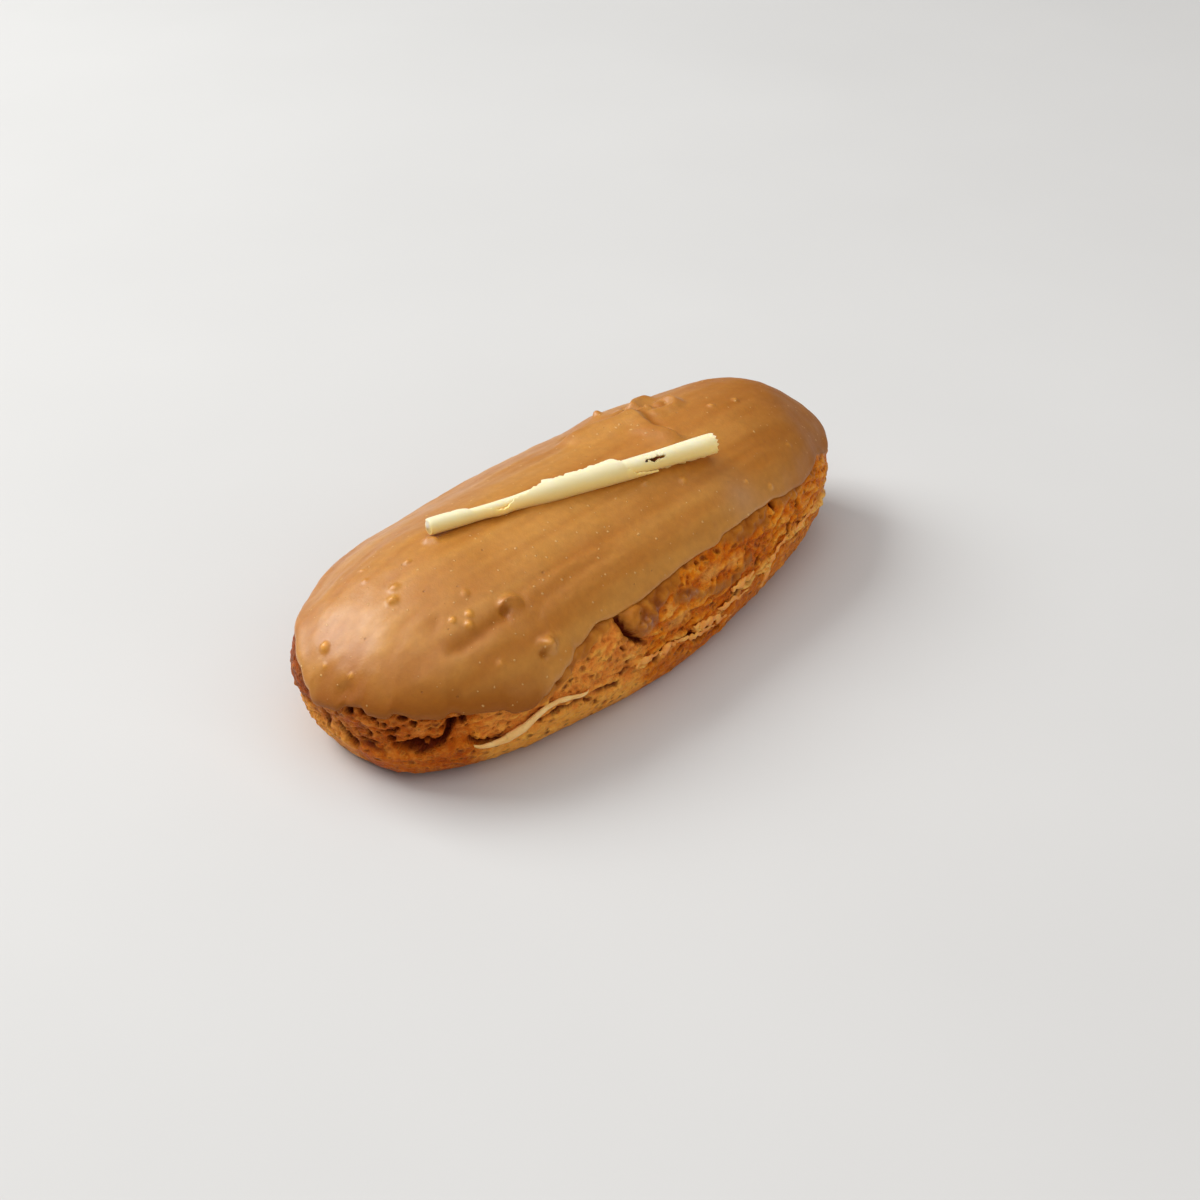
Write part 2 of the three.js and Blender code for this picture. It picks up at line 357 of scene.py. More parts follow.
class NodeSheet:
    """A short way to add the nodes of one tree and join them."""

    def __init__(self, tree: NodeTree) -> None:
        """Works on one node tree."""
        self.tree = tree

    def feed(self, node: Node, inputs: Inputs) -> None:
        """Joins sockets to some inputs of a node, and sets the values of others.

        Args:
            node: The node.
            inputs: Values or sockets, by socket name or number.
        """
        for socket, feed in inputs.items():
            if isinstance(feed, Socket):
                self.tree.links.new(feed, node.inputs[socket])
            else:
                node.inputs[socket].default_value = feed

    def add(self, kind: str, inputs: Inputs, **settings: object) -> Node:
        """Adds a node.

        Args:
            kind: Blender's name of the node type.
            inputs: Values or sockets, by socket name or number.
            settings: Properties of the node.

        Returns:
            The node.
        """
        node = self.tree.nodes.new(kind)
        for name, value in settings.items():
            setattr(node, name, value)
        self.feed(node, inputs)
        return node

    def mix(self, share: Feed, first: Feed, second: Feed) -> Socket:
        """Colour that goes from first to second by a share."""
        node = self.add("ShaderNodeMix", {0: share, 6: first, 7: second}, data_type="RGBA")
        return node.outputs[2]

    def ramp(self, value: Feed, *colours: Colour) -> Socket:
        """Colour that runs evenly through some colours as a value goes from 0 to 1.

        Args:
            value: The value.
            colours: The colours, two or more.

        Returns:
            The colour's socket.
        """
        node = self.add("ShaderNodeValToRGB", {0: value})
        stops = node.color_ramp.elements
        for order, colour in enumerate(colours):
            place = order / (len(colours) - 1)
            stop = stops[order] if order < 2 else stops.new(place)
            stop.position = place
            stop.color = colour
        return node.outputs[0]

    def math(self, operation: str, first: Feed, second: Feed) -> Socket:
        """Result of one sum on two values."""
        return self.add("ShaderNodeMath", {0: first, 1: second}, operation=operation).outputs[0]

    def times(self, first: Feed, second: Feed) -> Socket:
        """One value times another."""
        return self.math("MULTIPLY", first, second)

    def plus(self, first: Feed, second: Feed) -> Socket:
        """One value and another together."""
        return self.math("ADD", first, second)

    def remap(self, value: Feed, low: Feed, high: Feed, start: float, end: float) -> Socket:
        """Value moved from the range low to high into start to end, and clamped there."""
        inputs = {"Value": value, "From Min": low, "From Max": high, "To Min": start, "To Max": end}
        return self.add("ShaderNodeMapRange", inputs).outputs["Result"]

    def mask(self, mask: Mask) -> Socket:
        """Values of a mask that the mesh carries."""
        return self.add("ShaderNodeAttribute", {}, attribute_name=mask.value).outputs["Fac"]

    def place(self) -> Socket:
        """Object coordinates, in metres."""
        return self.add("ShaderNodeTexCoord", {}).outputs["Object"]

    def group(self, tree: NodeTree, inputs: Inputs) -> Socket:
        """First output of a shared node group placed with its own values."""
        return self.add("ShaderNodeGroup", inputs, node_tree=tree).outputs[0]

    def bump(self, height: Feed, strength: float, depth_mm: float) -> Socket:
        """Normal of a surface with fine relief."""
        inputs = {"Height": height, "Strength": strength, "Distance": depth_mm * MM}
        return self.add("ShaderNodeBump", inputs).outputs[0]

    def bend(self, place: Feed, scale: Feed, reach_mm: float) -> Socket:
        """Coordinates pushed about by noise.

        Args:
            place: The coordinates.
            scale: Scale of the noise.
            reach_mm: How far the noise pushes at most.

        Returns:
            The bent coordinates' socket.
        """
        noise = self.add("ShaderNodeTexNoise", {"Vector": place, "Scale": scale})
        inputs = {0: noise.outputs["Color"], 1: (reach_mm * MM,) * 3, 2: place}
        return self.add("ShaderNodeVectorMath", inputs, operation="MULTIPLY_ADD").outputs[0]

    def cells(self, place: Feed, scale: Feed, share: Feed) -> tuple[Socket, Socket, Socket]:
        """Scattered round cells, of which a share is chosen.

        Args:
            place: Coordinates to scatter them over.
            scale: Cells to the metre.
            share: Share of the cells that is chosen.

        Returns:
            Sockets of the distance from a cell's middle, the choice, and a random number.
        """
        cells = self.add("ShaderNodeTexVoronoi", {"Vector": place, "Scale": scale})
        chance = self.add("ShaderNodeSeparateColor", {"Color": cells.outputs["Color"]})
        return cells.outputs["Distance"], self.math("LESS_THAN", chance.outputs[0], share), chance.outputs[1]


class SharedEffects:
    """Node groups that are placed more than once, each built once."""

    MOTTLE_DETAIL = 3.0
    GRAIN_ROUGHNESS = 0.66
    SPECK_BEND_MM = 0.8
    SMALLEST_SPECK = 0.4
    SPECK_CORE = 0.5
    MIDDLE = 0.5

    @staticmethod
    def _start(name: str, numbers: tuple[str, ...], output: str) -> tuple[NodeSheet, dict, Node]:
        """Makes an empty group.

        Args:
            name: Name of the group.
            numbers: Names of its number inputs, beside a vector.
            output: Name of its one output.

        Returns:
            The group's sheet, its input sockets by name, and its output node.
        """
        tree = bpy.data.node_groups.new(name, "ShaderNodeTree")
        tree.interface.new_socket("Vector", in_out="INPUT", socket_type="NodeSocketVector")
        for number in numbers:
            tree.interface.new_socket(number, in_out="INPUT", socket_type="NodeSocketFloat")
        tree.interface.new_socket(output, in_out="OUTPUT", socket_type="NodeSocketFloat")
        sheet = NodeSheet(tree)
        sockets = {socket.name: socket for socket in sheet.add("NodeGroupInput", {}).outputs}
        return sheet, sockets, sheet.add("NodeGroupOutput", {})

    @cached_property
    def mottle(self) -> NodeTree:
        """Soft blotches.

        Returns:
            A group that puts out a mask from 0 to 1.
        """
        sheet, given, result = self._start("Mottle", ("Scale", "Contrast"), "Mask")
        inputs = {"Vector": given["Vector"], "Scale": given["Scale"], "Detail": self.MOTTLE_DETAIL}
        noise = sheet.add("ShaderNodeTexNoise", inputs)
        spread = sheet.times(sheet.math("SUBTRACT", noise.outputs[0], self.MIDDLE), given["Contrast"])
        lifted = sheet.add("ShaderNodeMath", {0: spread, 1: self.MIDDLE}, operation="ADD", use_clamp=True)
        sheet.feed(result, {0: lifted.outputs[0]})
        return sheet.tree

    @cached_property
    def grain(self) -> NodeTree:
        """Fine uneven grain.

        Returns:
            A group that puts out a height.
        """
        sheet, given, result = self._start("Grain", ("Scale", "Detail"), "Height")
        inputs = {name: given[name] for name in ("Vector", "Scale", "Detail")}
        noise = sheet.add("ShaderNodeTexNoise", {**inputs, "Roughness": self.GRAIN_ROUGHNESS})
        sheet.feed(result, {0: noise.outputs[0]})
        return sheet.tree

    @cached_property
    def specks(self) -> NodeTree:
        """Sparse round specks: Share of the cells hold one, up to Radius of a cell wide.

        Returns:
            A group that puts out a mask from 0 to 1.
        """
        sheet, given, result = self._start("Specks", ("Scale", "Share", "Radius"), "Mask")
        bent = sheet.bend(given["Vector"], given["Scale"], self.SPECK_BEND_MM)
        apart, chosen, chance = sheet.cells(bent, given["Scale"], given["Share"])
        reach = sheet.times(given["Radius"], sheet.remap(chance, 0, 1, self.SMALLEST_SPECK, 1))
        speck = sheet.remap(apart, reach, sheet.times(reach, self.SPECK_CORE), 0, 1)
        sheet.feed(result, {0: sheet.times(chosen, speck)})
        return sheet.tree

    def blotches(self, sheet: NodeSheet, size_mm: float, contrast: float) -> Socket:
        """Mask of soft blotches over a material."""
        sizes = {"Scale": per_mm(size_mm), "Contrast": contrast}
        return sheet.group(self.mottle, {"Vector": sheet.place(), **sizes})

    def grains(self, sheet: NodeSheet, place: Feed, size_mm: float, detail: float) -> Socket:
        """Height of fine grain over a material."""
        return sheet.group(self.grain, {"Vector": place, "Scale": per_mm(size_mm), "Detail": detail})


def start_material(name: str) -> tuple[Material, NodeSheet, Node]:
    """Makes a node material with nothing but its shader.

    Args:
        name: Name of the material.

    Returns:
        The material, its sheet and its Principled shader.
    """
    material = bpy.data.materials.new(name)
    material.use_nodes = True
    sheet = NodeSheet(material.node_tree)
    return material, sheet, material.node_tree.nodes["Principled BSDF"]


@dataclass(frozen=True)
class Translucence:
    """How light soaks into a material: its share, how far each colour goes in, and over what distance."""

    share: float
    spread: Triple
    reach_mm: float

    def inputs(self) -> Inputs:
        """The shader's inputs for it."""
        names = ("Subsurface Weight", "Subsurface Radius", "Subsurface Scale")
        return dict(zip(names, (self.share, self.spread, self.reach_mm * MM)))


@dataclass(frozen=True)
class Bubbles:
    """Burst bubbles in a baked skin: width of a cell, share of cells with one, their depth, and the darkness
    of their painted shade.
    """

    cell_mm: float
    share: float
    height: float
    darkness: float


@dataclass(frozen=True)
class CrustFinish:
    """Baked choux: golden to orange brown, pale where the dough tore; painted shade makes it dark red in its
    cavities.
    """

    hollow: Colour = srgb(98, 28, 0)
    orange: Colour = srgb(201, 93, 3)
    golden: Colour = srgb(231, 132, 18)
    crest: Colour = srgb(251, 184, 80)
    brown: Colour = srgb(182, 84, 12)
    blush: Colour = srgb(238, 146, 60)
    pale: Colour = srgb(252, 196, 102)
    cavity: Colour = srgb(98, 30, 4)
    lower: Colour = srgb(180, 79, 4)
    lower_crest: Colour = srgb(222, 122, 26)
    film: Colour = srgb(182, 112, 36)
    film_deep: Colour = srgb(126, 64, 10)
    blotch_mm: float = 6.0
    crumb_mm: float = 1.0
    crumb_stretch: Triple = (0.75, 0.75, 1.0)
    bend_mm: float = 0.7
    bubbles: tuple[Bubbles, ...] = (Bubbles(1.7, 0.6, 0.55, 0.85), Bubbles(0.85, 0.7, 0.3, 0.45))
    bubble_wall: Triple = (0.1, 0.4, 0.52)
    rim_light: float = 0.15
    rim_height: float = 0.15
    crumb_height: float = 0.8
    relief_mm: float = 0.8
    relief_strength: float = 1.0
    rise_weight: float = 0.6
    blotch_weight: float = 0.1
    fine_weight: float = 0.3
    fine_range: Pair = (0.34, 0.66)
    film_bare: float = 0.15
    pale_full: float = 0.6
    roughness: float = 0.42
    film_roughness: float = 0.3
    film_coat: float = 0.03
    wet_coat: float = 0.5
    wet_roughness: float = 0.14
    shine: float = 0.1
    blotch_contrast: float = 1.6
    crumb_detail: float = 6.0
    smallest_bubble: float = 0.35
    translucence: Translucence = Translucence(0.06, (1.0, 0.45, 0.2), 0.8)

    def _bubble_masks(self, sheet: NodeSheet, place: Feed, bubbles: Bubbles) -> tuple[Socket, Socket]:
        """Masks of burst bubbles and of their rims, for their relief, their painted shade and the rims'
        painted highlight.

        Args:
            sheet: The material's sheet.
            place: Coordinates to scatter them over.
            bubbles: Their size and share.

        Returns:
            Sockets of the bubbles' mask and of the rims' mask.
        """
        apart, chosen, chance = sheet.cells(place, per_mm(bubbles.cell_mm), bubbles.share)
        inner, outer, rim = self.bubble_wall
        depth = sheet.times(chosen, sheet.remap(chance, 0, 1, self.smallest_bubble, 1))
        pit = sheet.remap(apart, inner, outer, 1, 0)
        edge = sheet.times(sheet.remap(apart, inner, outer, 0, 1), sheet.remap(apart, outer, rim, 1, 0))
        return sheet.times(pit, depth), sheet.times(edge, depth)

    def _colour(self, sheet: NodeSheet, shared: SharedEffects, crumb: Feed) -> Socket:
        """Colour of the crust without its bubbles and film, with painted shade and highlight from its relief.

        Args:
            sheet: The material's sheet.
            shared: The shared node groups.
            crumb: Height of the fine crumb.

        Returns:
            The colour's socket.
        """
        blotch = shared.blotches(sheet, self.blotch_mm, self.blotch_contrast)
        fine = sheet.remap(crumb, *self.fine_range, 0, 1)
        rise = sheet.times(sheet.mask(Mask.SHADE_AND_TONE), self.rise_weight)
        rise = sheet.plus(rise, sheet.times(blotch, self.blotch_weight))
        rise = sheet.plus(rise, sheet.times(fine, self.fine_weight))
        # Painted shade and highlight: the ramp runs from the hollow colour to the crest colour as the relief
        # rises.
        colour = sheet.ramp(rise, self.hollow, self.orange, self.golden, self.crest)
        tints = {
            Mask.BLUSH: sheet.ramp(rise, self.brown, self.blush, self.crest),
            Mask.BROWN: sheet.ramp(rise, self.cavity, self.brown, self.blush),
            Mask.LOWER: sheet.ramp(rise, self.hollow, self.lower, self.lower_crest),
            Mask.PALE: sheet.ramp(fine, self.golden, self.pale, self.pale),
        }
        for mask, tint in tints.items():
            colour = sheet.mix(sheet.mask(mask), colour, tint)
        return colour

    def material(self, shared: SharedEffects) -> Material:
        """Builds the crust's material.

        Args:
            shared: The shared node groups.

        Returns:
            The material.
        """
        material, sheet, shader = start_material("choux_crust")
        film, wet = sheet.mask(Mask.FILM), sheet.mask(Mask.WET)
        bare = sheet.remap(film, 0, 1, 1, self.film_bare)
        baked = sheet.remap(sheet.mask(Mask.PALE), 0, self.pale_full, 1, self.film_bare)
        open_skin = sheet.times(bare, baked)
        stretched = {"Vector": sheet.place(), "Scale": self.crumb_stretch}
        flaky = sheet.add("ShaderNodeMapping", stretched).outputs[0]
        bent = sheet.bend(flaky, per_mm(self.crumb_mm), self.bend_mm)
        crumb = shared.grains(sheet, flaky, self.crumb_mm, self.crumb_detail)
        colour = self._colour(sheet, shared, crumb)
        height = sheet.times(crumb, self.crumb_height)
        for bubbles in self.bubbles:
            burst, edge = (sheet.times(mask, open_skin) for mask in self._bubble_masks(sheet, bent, bubbles))
            # Painted highlight on each bubble's rim, and painted shade inside it.
            colour = sheet.mix(sheet.times(edge, self.rim_light), colour, self.crest)
            height = sheet.plus(height, sheet.times(edge, self.rim_height))
            colour = sheet.mix(sheet.times(burst, bubbles.darkness), colour, self.cavity)
            height = sheet.math("SUBTRACT", height, sheet.times(burst, bubbles.height))
        # Painted shade, dark red, in the pores, holes and cleft, and along the left rim.
        colour = sheet.mix(sheet.mask(Mask.CAVITY_SHADE), colour, self.cavity)
        # The film also gets painted shade and highlight from its relief.
        coat = sheet.mix(sheet.mask(Mask.SHADE_AND_TONE), self.film_deep, self.film)
        sheet.feed(shader, {
            "Base Color": sheet.mix(film, colour, coat),
            "Roughness": sheet.remap(film, 0, 1, self.roughness, self.film_roughness),
            "Normal": sheet.bump(sheet.times(height, bare), self.relief_strength, self.relief_mm),
            "Coat Weight": sheet.plus(sheet.times(film, self.film_coat), sheet.times(wet, self.wet_coat)),
            "Coat Roughness": self.wet_roughness,
            "Specular IOR Level": self.shine,
            **self.translucence.inputs(),
        })
        return material


@dataclass(frozen=True)
class Specks:
    """Sparse specks: width of a cell, share of cells with one, radius in cells, strength and height."""

    cell_mm: float
    share: float
    radius: float
    strength: float
    height: float

    def mask(self, sheet: NodeSheet, shared: SharedEffects) -> Socket:
        """Mask of the specks over a material.

        Args:
            sheet: The material's sheet.
            shared: The shared node groups.

        Returns:
            The mask's socket.
        """
        sizes = {"Scale": per_mm(self.cell_mm), "Share": self.share, "Radius": self.radius}
        return sheet.group(shared.specks, {"Vector": sheet.place(), **sizes})


@dataclass(frozen=True)
class IcingFinish:
    """Satin coffee fondant with soft streaks, pale specks and pinholes, amber pools, and painted shade in its
    pinholes, dents and grooves.
    """

    mid: Colour = srgb(202, 139, 56)
    deep: Colour = srgb(178, 106, 14)
    bloom: Colour = srgb(190, 142, 98)
    speck: Colour = srgb(230, 182, 112)
    pinhole: Colour = srgb(120, 66, 14)
    pool: Colour = srgb(152, 84, 0)
    nub: Colour = srgb(240, 166, 62)
    blotch_mm: float = 14.0
    patch_mm: float = 6.0
    grain_mm: float = 0.9
    fleck_mm: float = 1.5
    fleck_share: float = 0.2
    specks: Specks = Specks(1.7, 0.6, 0.2, 0.6, 0.8)
    pinholes: Specks = Specks(2.6, 0.3, 0.12, 0.35, 0.9)
    streak_weight: float = 0.65
    roughness: Pair = (0.38, 0.54)
    pool_roughness: float = 0.2
    gloss: float = 0.55
    gloss_roughness: float = 0.42
    shine: float = 0.35
    relief_mm: float = 0.2
    relief_strength: float = 0.75
    blotch_contrast: float = 1.6
    fleck_contrast: float = 2.4
    patch_contrast: float = 2.0
    pool_matt: float = 0.8
    grain_detail: float = 4.0
    grain_height: float = 0.55
    translucence: Translucence = Translucence(0.12, (1.0, 0.5, 0.25), 1.2)

    def material(self, shared: SharedEffects) -> Material:
        """Builds the icing's material.

        Args:
            shared: The shared node groups.

        Returns:
            The material.
        """
        material, sheet, shader = start_material("coffee_icing")
        pool = sheet.mask(Mask.AMBER_AND_SHADE)
        blotch = shared.blotches(sheet, self.blotch_mm, self.blotch_contrast)
        streaks = sheet.times(sheet.mask(Mask.STREAK), self.streak_weight)
        tone = sheet.plus(sheet.times(blotch, 1 - self.streak_weight), streaks)
        colour = sheet.mix(tone, self.deep, self.mid)
        # Amber: the icing's own tone where it pools near the edge, and painted shade in its dents and grooves
        # and towards the far end.
        colour = sheet.mix(pool, colour, self.pool)
        colour = sheet.mix(sheet.mask(Mask.BLOOM), colour, self.bloom)
        colour = sheet.mix(sheet.mask(Mask.NUB), colour, self.nub)
        flecks = shared.blotches(sheet, self.fleck_mm, self.fleck_contrast)
        colour = sheet.mix(sheet.times(flecks, self.fleck_share), colour, self.pinhole)
        specks, pinholes = self.specks.mask(sheet, shared), self.pinholes.mask(sheet, shared)
        colour = sheet.mix(sheet.times(specks, self.specks.strength), colour, self.speck)
        # Painted shade in the pinholes: darker where the tiny pits are.
        colour = sheet.mix(sheet.times(pinholes, self.pinholes.strength), colour, self.pinhole)
        patch = shared.blotches(sheet, self.patch_mm, self.patch_contrast)
        rough = sheet.plus(sheet.remap(patch, 0, 1, *self.roughness), sheet.times(pool, self.pool_roughness))
        grain = shared.grains(sheet, sheet.place(), self.grain_mm, self.grain_detail)
        raised = sheet.plus(sheet.times(grain, self.grain_height), sheet.times(specks, self.specks.height))
        height = sheet.math("SUBTRACT", raised, sheet.times(pinholes, self.pinholes.height))
        sheet.feed(shader, {
            "Base Color": colour,
            "Roughness": rough,
            "Normal": sheet.bump(height, self.relief_strength, self.relief_mm),
            "Coat Weight": sheet.remap(pool, 0, self.pool_matt, self.gloss, 0),
            "Coat Roughness": self.gloss_roughness,
            "Specular IOR Level": self.shine,
            **self.translucence.inputs(),
        })
        return material


@dataclass(frozen=True)
class ChocolateFinish:
    """Ivory white chocolate, waxy, with faint rings across the roll; painted light whitens its upper side,
    and painted shade makes the inner wall seen through the hole icing brown.
    """

    ivory: Colour = srgb(255, 240, 205)
    cream: Colour = srgb(255, 216, 136)
    stain: Colour = srgb(116, 58, 16)
    blotch_mm: float = 3.5
    blotch_low: float = 0.7
    blotch_contrast: float = 1.8
    grain_mm: float = 0.8
    grain_detail: float = 2.0
    relief_mm: float = 0.12
    relief_strength: float = 0.25
    roughness: float = 0.42
    shine: float = 0.3
    translucence: Translucence = Translucence(0.5, (1.0, 0.8, 0.4), 1.0)

    def material(self, shared: SharedEffects) -> Material:
        """Builds the white chocolate's material.

        Args:
            shared: The shared node groups.

        Returns:
            The material.
        """
        material, sheet, shader = start_material("white_chocolate")
        blotch = shared.blotches(sheet, self.blotch_mm, self.blotch_contrast)
        # Painted light: whiter ivory on the upper side, yellower cream below.
        top = sheet.times(sheet.remap(blotch, 0, 1, self.blotch_low, 1), sheet.mask(Mask.TOP))
        colour = sheet.mix(top, self.cream, self.ivory)
        grain = shared.grains(sheet, sheet.place(), self.grain_mm, self.grain_detail)
        sheet.feed(shader, {
            # Painted shade: dark icing brown on the inner wall seen through the hole.
            "Base Color": sheet.mix(sheet.mask(Mask.HOLE_SHADE), colour, self.stain),
            "Roughness": self.roughness,
            "Normal": sheet.bump(grain, self.relief_strength, self.relief_mm),
            "Specular IOR Level": self.shine,
            **self.translucence.inputs(),
        })
        return material


@dataclass(frozen=True)
class ThreadFinish:
    """Pale yellow dough that was pulled into a thread."""

    light: Colour = srgb(255, 214, 142)
    dark: Colour = srgb(236, 178, 96)
    blotch_mm: float = 2.5
    blotch_contrast: float = 2.2
    grain_mm: float = 0.6
    grain_detail: float = 2.0
    relief_mm: float = 0.15
    relief_strength: float = 0.3
    roughness: float = 0.45
    translucence: Translucence = Translucence(0.2, (1.0, 0.2, 0.1), 0.8)

    def material(self, shared: SharedEffects) -> Material:
        """Builds the thread's material.

        Args:
            shared: The shared node groups.

        Returns:
            The material.
        """
        material, sheet, shader = start_material("dough_thread")
        blotch = shared.blotches(sheet, self.blotch_mm, self.blotch_contrast)
        grain = shared.grains(sheet, sheet.place(), self.grain_mm, self.grain_detail)
        sheet.feed(shader, {
            "Base Color": sheet.mix(blotch, self.dark, self.light),
            "Roughness": self.roughness,
            "Normal": sheet.bump(grain, self.relief_strength, self.relief_mm),
            **self.translucence.inputs(),
        })
        return material


@dataclass(frozen=True)
class FloorFinish:
    """Plain pale floor with a barely uneven tone."""

    light: Colour = srgb(211, 209, 208)
    dark: Colour = srgb(206, 204, 203)
    blotches_per_metre: float = 9.0
    blotch_contrast: float = 1.5
    roughness: float = 0.8
    shine: float = 0.25

    def material(self, shared: SharedEffects) -> Material:
        """Builds the floor's material.

        Args:
            shared: The shared node groups.

        Returns:
            The material.
        """
        material, sheet, shader = start_material("pale_floor")
        sizes = {"Scale": self.blotches_per_metre, "Contrast": self.blotch_contrast}
        blotch = sheet.group(shared.mottle, {"Vector": sheet.place(), **sizes})
        sheet.feed(shader, {
            "Base Color": sheet.mix(blotch, self.dark, self.light),
            "Roughness": self.roughness,
            "Specular IOR Level": self.shine,
        })
        return material


@dataclass(frozen=True)
class BunForm:
    """The bun's smooth form in millimetres, read by station round it and latitude up it.

    A station is the share of the way round, seen from above: 0 at the slim end, 0.5 at the broad end and
    0.75 at the -Y flank. A latitude is a quarter turn below 0 at the foot, and above it at the crest.
    """

    length: float = 141.4
    width: float = 57.8
    height: float = 33.6
    belly: float = 16.2
    spine: float = 74.0
    taper: float = 0.115
    plan_power: float = 2.43
    dome_power: float = 1.85
    foot_shares: Stops = (
        (0.0, 0.76), (0.12, 0.8), (0.3, 0.76), (0.38, 0.7), (0.5, 0.73), (0.62, 0.72), (0.75, 0.87),
        (0.88, 0.67), (1.0, 0.76),
    )
    usual_foot: float = 0.77
    shift: float = 0.7
    fineness: int = 4000
    nudge: float = 1e-3

    def _outline(self, turn: Array) -> tuple[Array, Array]:
        """Outline at the belly for shares of a turn, not yet evenly spaced.

        Args:
            turn: Shares of a turn.

        Returns:
            Places along and across the bun.
        """
        cosine, sine = np.cos(2 * np.pi * turn), np.sin(2 * np.pi * turn)
        along = np.sign(cosine) * np.abs(cosine) ** (2 / self.plan_power)
        across = np.sign(sine) * np.abs(sine) ** (2 / self.plan_power)
        return along * self.length / 2, across * self.width / 2 * (1 - self.taper * along)

    @cached_property
    def _laps(self) -> tuple[Array, Array]:
        """Distances round the outline.

        Returns:
            Shares of a turn, and the distance at each.
        """
        turn = np.linspace(0, 1, self.fineness + 1)
        x, y = self._outline(turn)
        steps = np.hypot(np.diff(x), np.diff(y))
        return turn, np.concatenate([[0], np.cumsum(steps)])

    @property
    def perimeter(self) -> float:
        """Distance round the belly."""
        return float(self._laps[1][-1])

    def section(self, latitude: Array, foot_share: Union[float, Array]) -> tuple[Array, Array]:
        """Share of the full width, and height, at latitudes.

        Args:
            latitude: Latitudes in radians.
            foot_share: Share of the full width at the foot.

        Returns:
            Shares and heights.
        """
        sine, cosine = np.sin(latitude), np.cos(latitude)
        rise = np.abs(sine) ** (2 / self.dome_power)
        dome = np.sign(cosine) * np.abs(cosine) ** (2 / self.dome_power)
        foot = foot_share + (1 - foot_share) * cosine
        share = np.where(latitude < 0, foot, dome)
        domed = self.belly + (self.height - self.belly) * rise
        height = np.where(latitude < 0, self.belly * (1 + sine), domed)
        return share, height

    @cached_property
    def _climbs(self) -> tuple[Array, Array, Array]:
        """Distances up the flank.

        Returns:
            Latitudes, with the height and the distance at each.
        """
        latitude = np.linspace(-np.pi / 2, np.pi / 2, self.fineness + 1)
        share, height = self.section(latitude, self.usual_foot)
        steps = np.hypot(np.diff(share) * self.width / 2, np.diff(height))
        return latitude, height, np.concatenate([[0], np.cumsum(steps)])

    def latitude_at_climb(self, climb: Array) -> Array:
        """Latitude after a distance up the flank from the foot."""
        latitude, _, run = self._climbs
        return np.interp(climb, run, latitude)

    def climb_at_height(self, height: Array) -> Array:
        """Distance up the flank from the foot to a height."""
        _, heights, run = self._climbs
        return np.interp(height, heights, run)

    @property
    def crest_climb(self) -> float:
        """Distance up the flank from the foot to the crest."""
        return float(self._climbs[2][-1])

    def skin(self, station: Array, latitude: Array, lift: Array) -> Array:
        """Points on the skin, lifted square to it.

        Args:
            station: Stations.
            latitude: Latitudes in radians, of the same shape.
            lift: Distances above the skin.

        Returns:
            Points in millimetres, with their coordinates last.
        """
        turns, run = self._laps
        x, y = self._outline(np.interp((station % 1) * run[-1], run, turns))
        spine = np.clip(x, -self.spine / 2, self.spine / 2)
        reach = np.hypot(x - spine, y)
        foot = follow(self.foot_shares, station % 1)
        share, height = self.section(latitude, foot)
        share_below, height_below = self.section(np.maximum(latitude - self.nudge, -np.pi / 2), foot)
        share_above, height_above = self.section(latitude + self.nudge, foot)
        inward, upward = (share_above - share_below) * reach, height_above - height_below
        steepness = np.hypot(inward, upward)
        out = share * reach + lift * upward / steepness
        up = height - lift * inward / steepness
        return np.stack([spine + out * (x - spine) / reach + self.shift, out * y / reach, up], axis=-1)

    def grid(self, columns: int, climbs: Array) -> tuple[Array, Array]:
        """Stations and latitudes of a grid whose rows are distances up the flank.

        Args:
            columns: Number of stations.
            climbs: Distances up the flank, shaped rows by columns or rows by 1.

        Returns:
            Stations and latitudes, shaped rows by columns.
        """
        station = np.broadcast_to(np.arange(columns) / columns, (climbs.shape[0], columns))
        return station, self.latitude_at_climb(np.broadcast_to(climbs, station.shape))


@dataclass(frozen=True)
class Stretch:
    """A stretch of the way round the bun, as stations, with soft ends."""

    start: float
    end: float
    fade: float

    def share(self, station: Array) -> Array:
        """1 inside the stretch, fading to 0 outside it."""
        return span(self.start, self.end, self.fade, station)


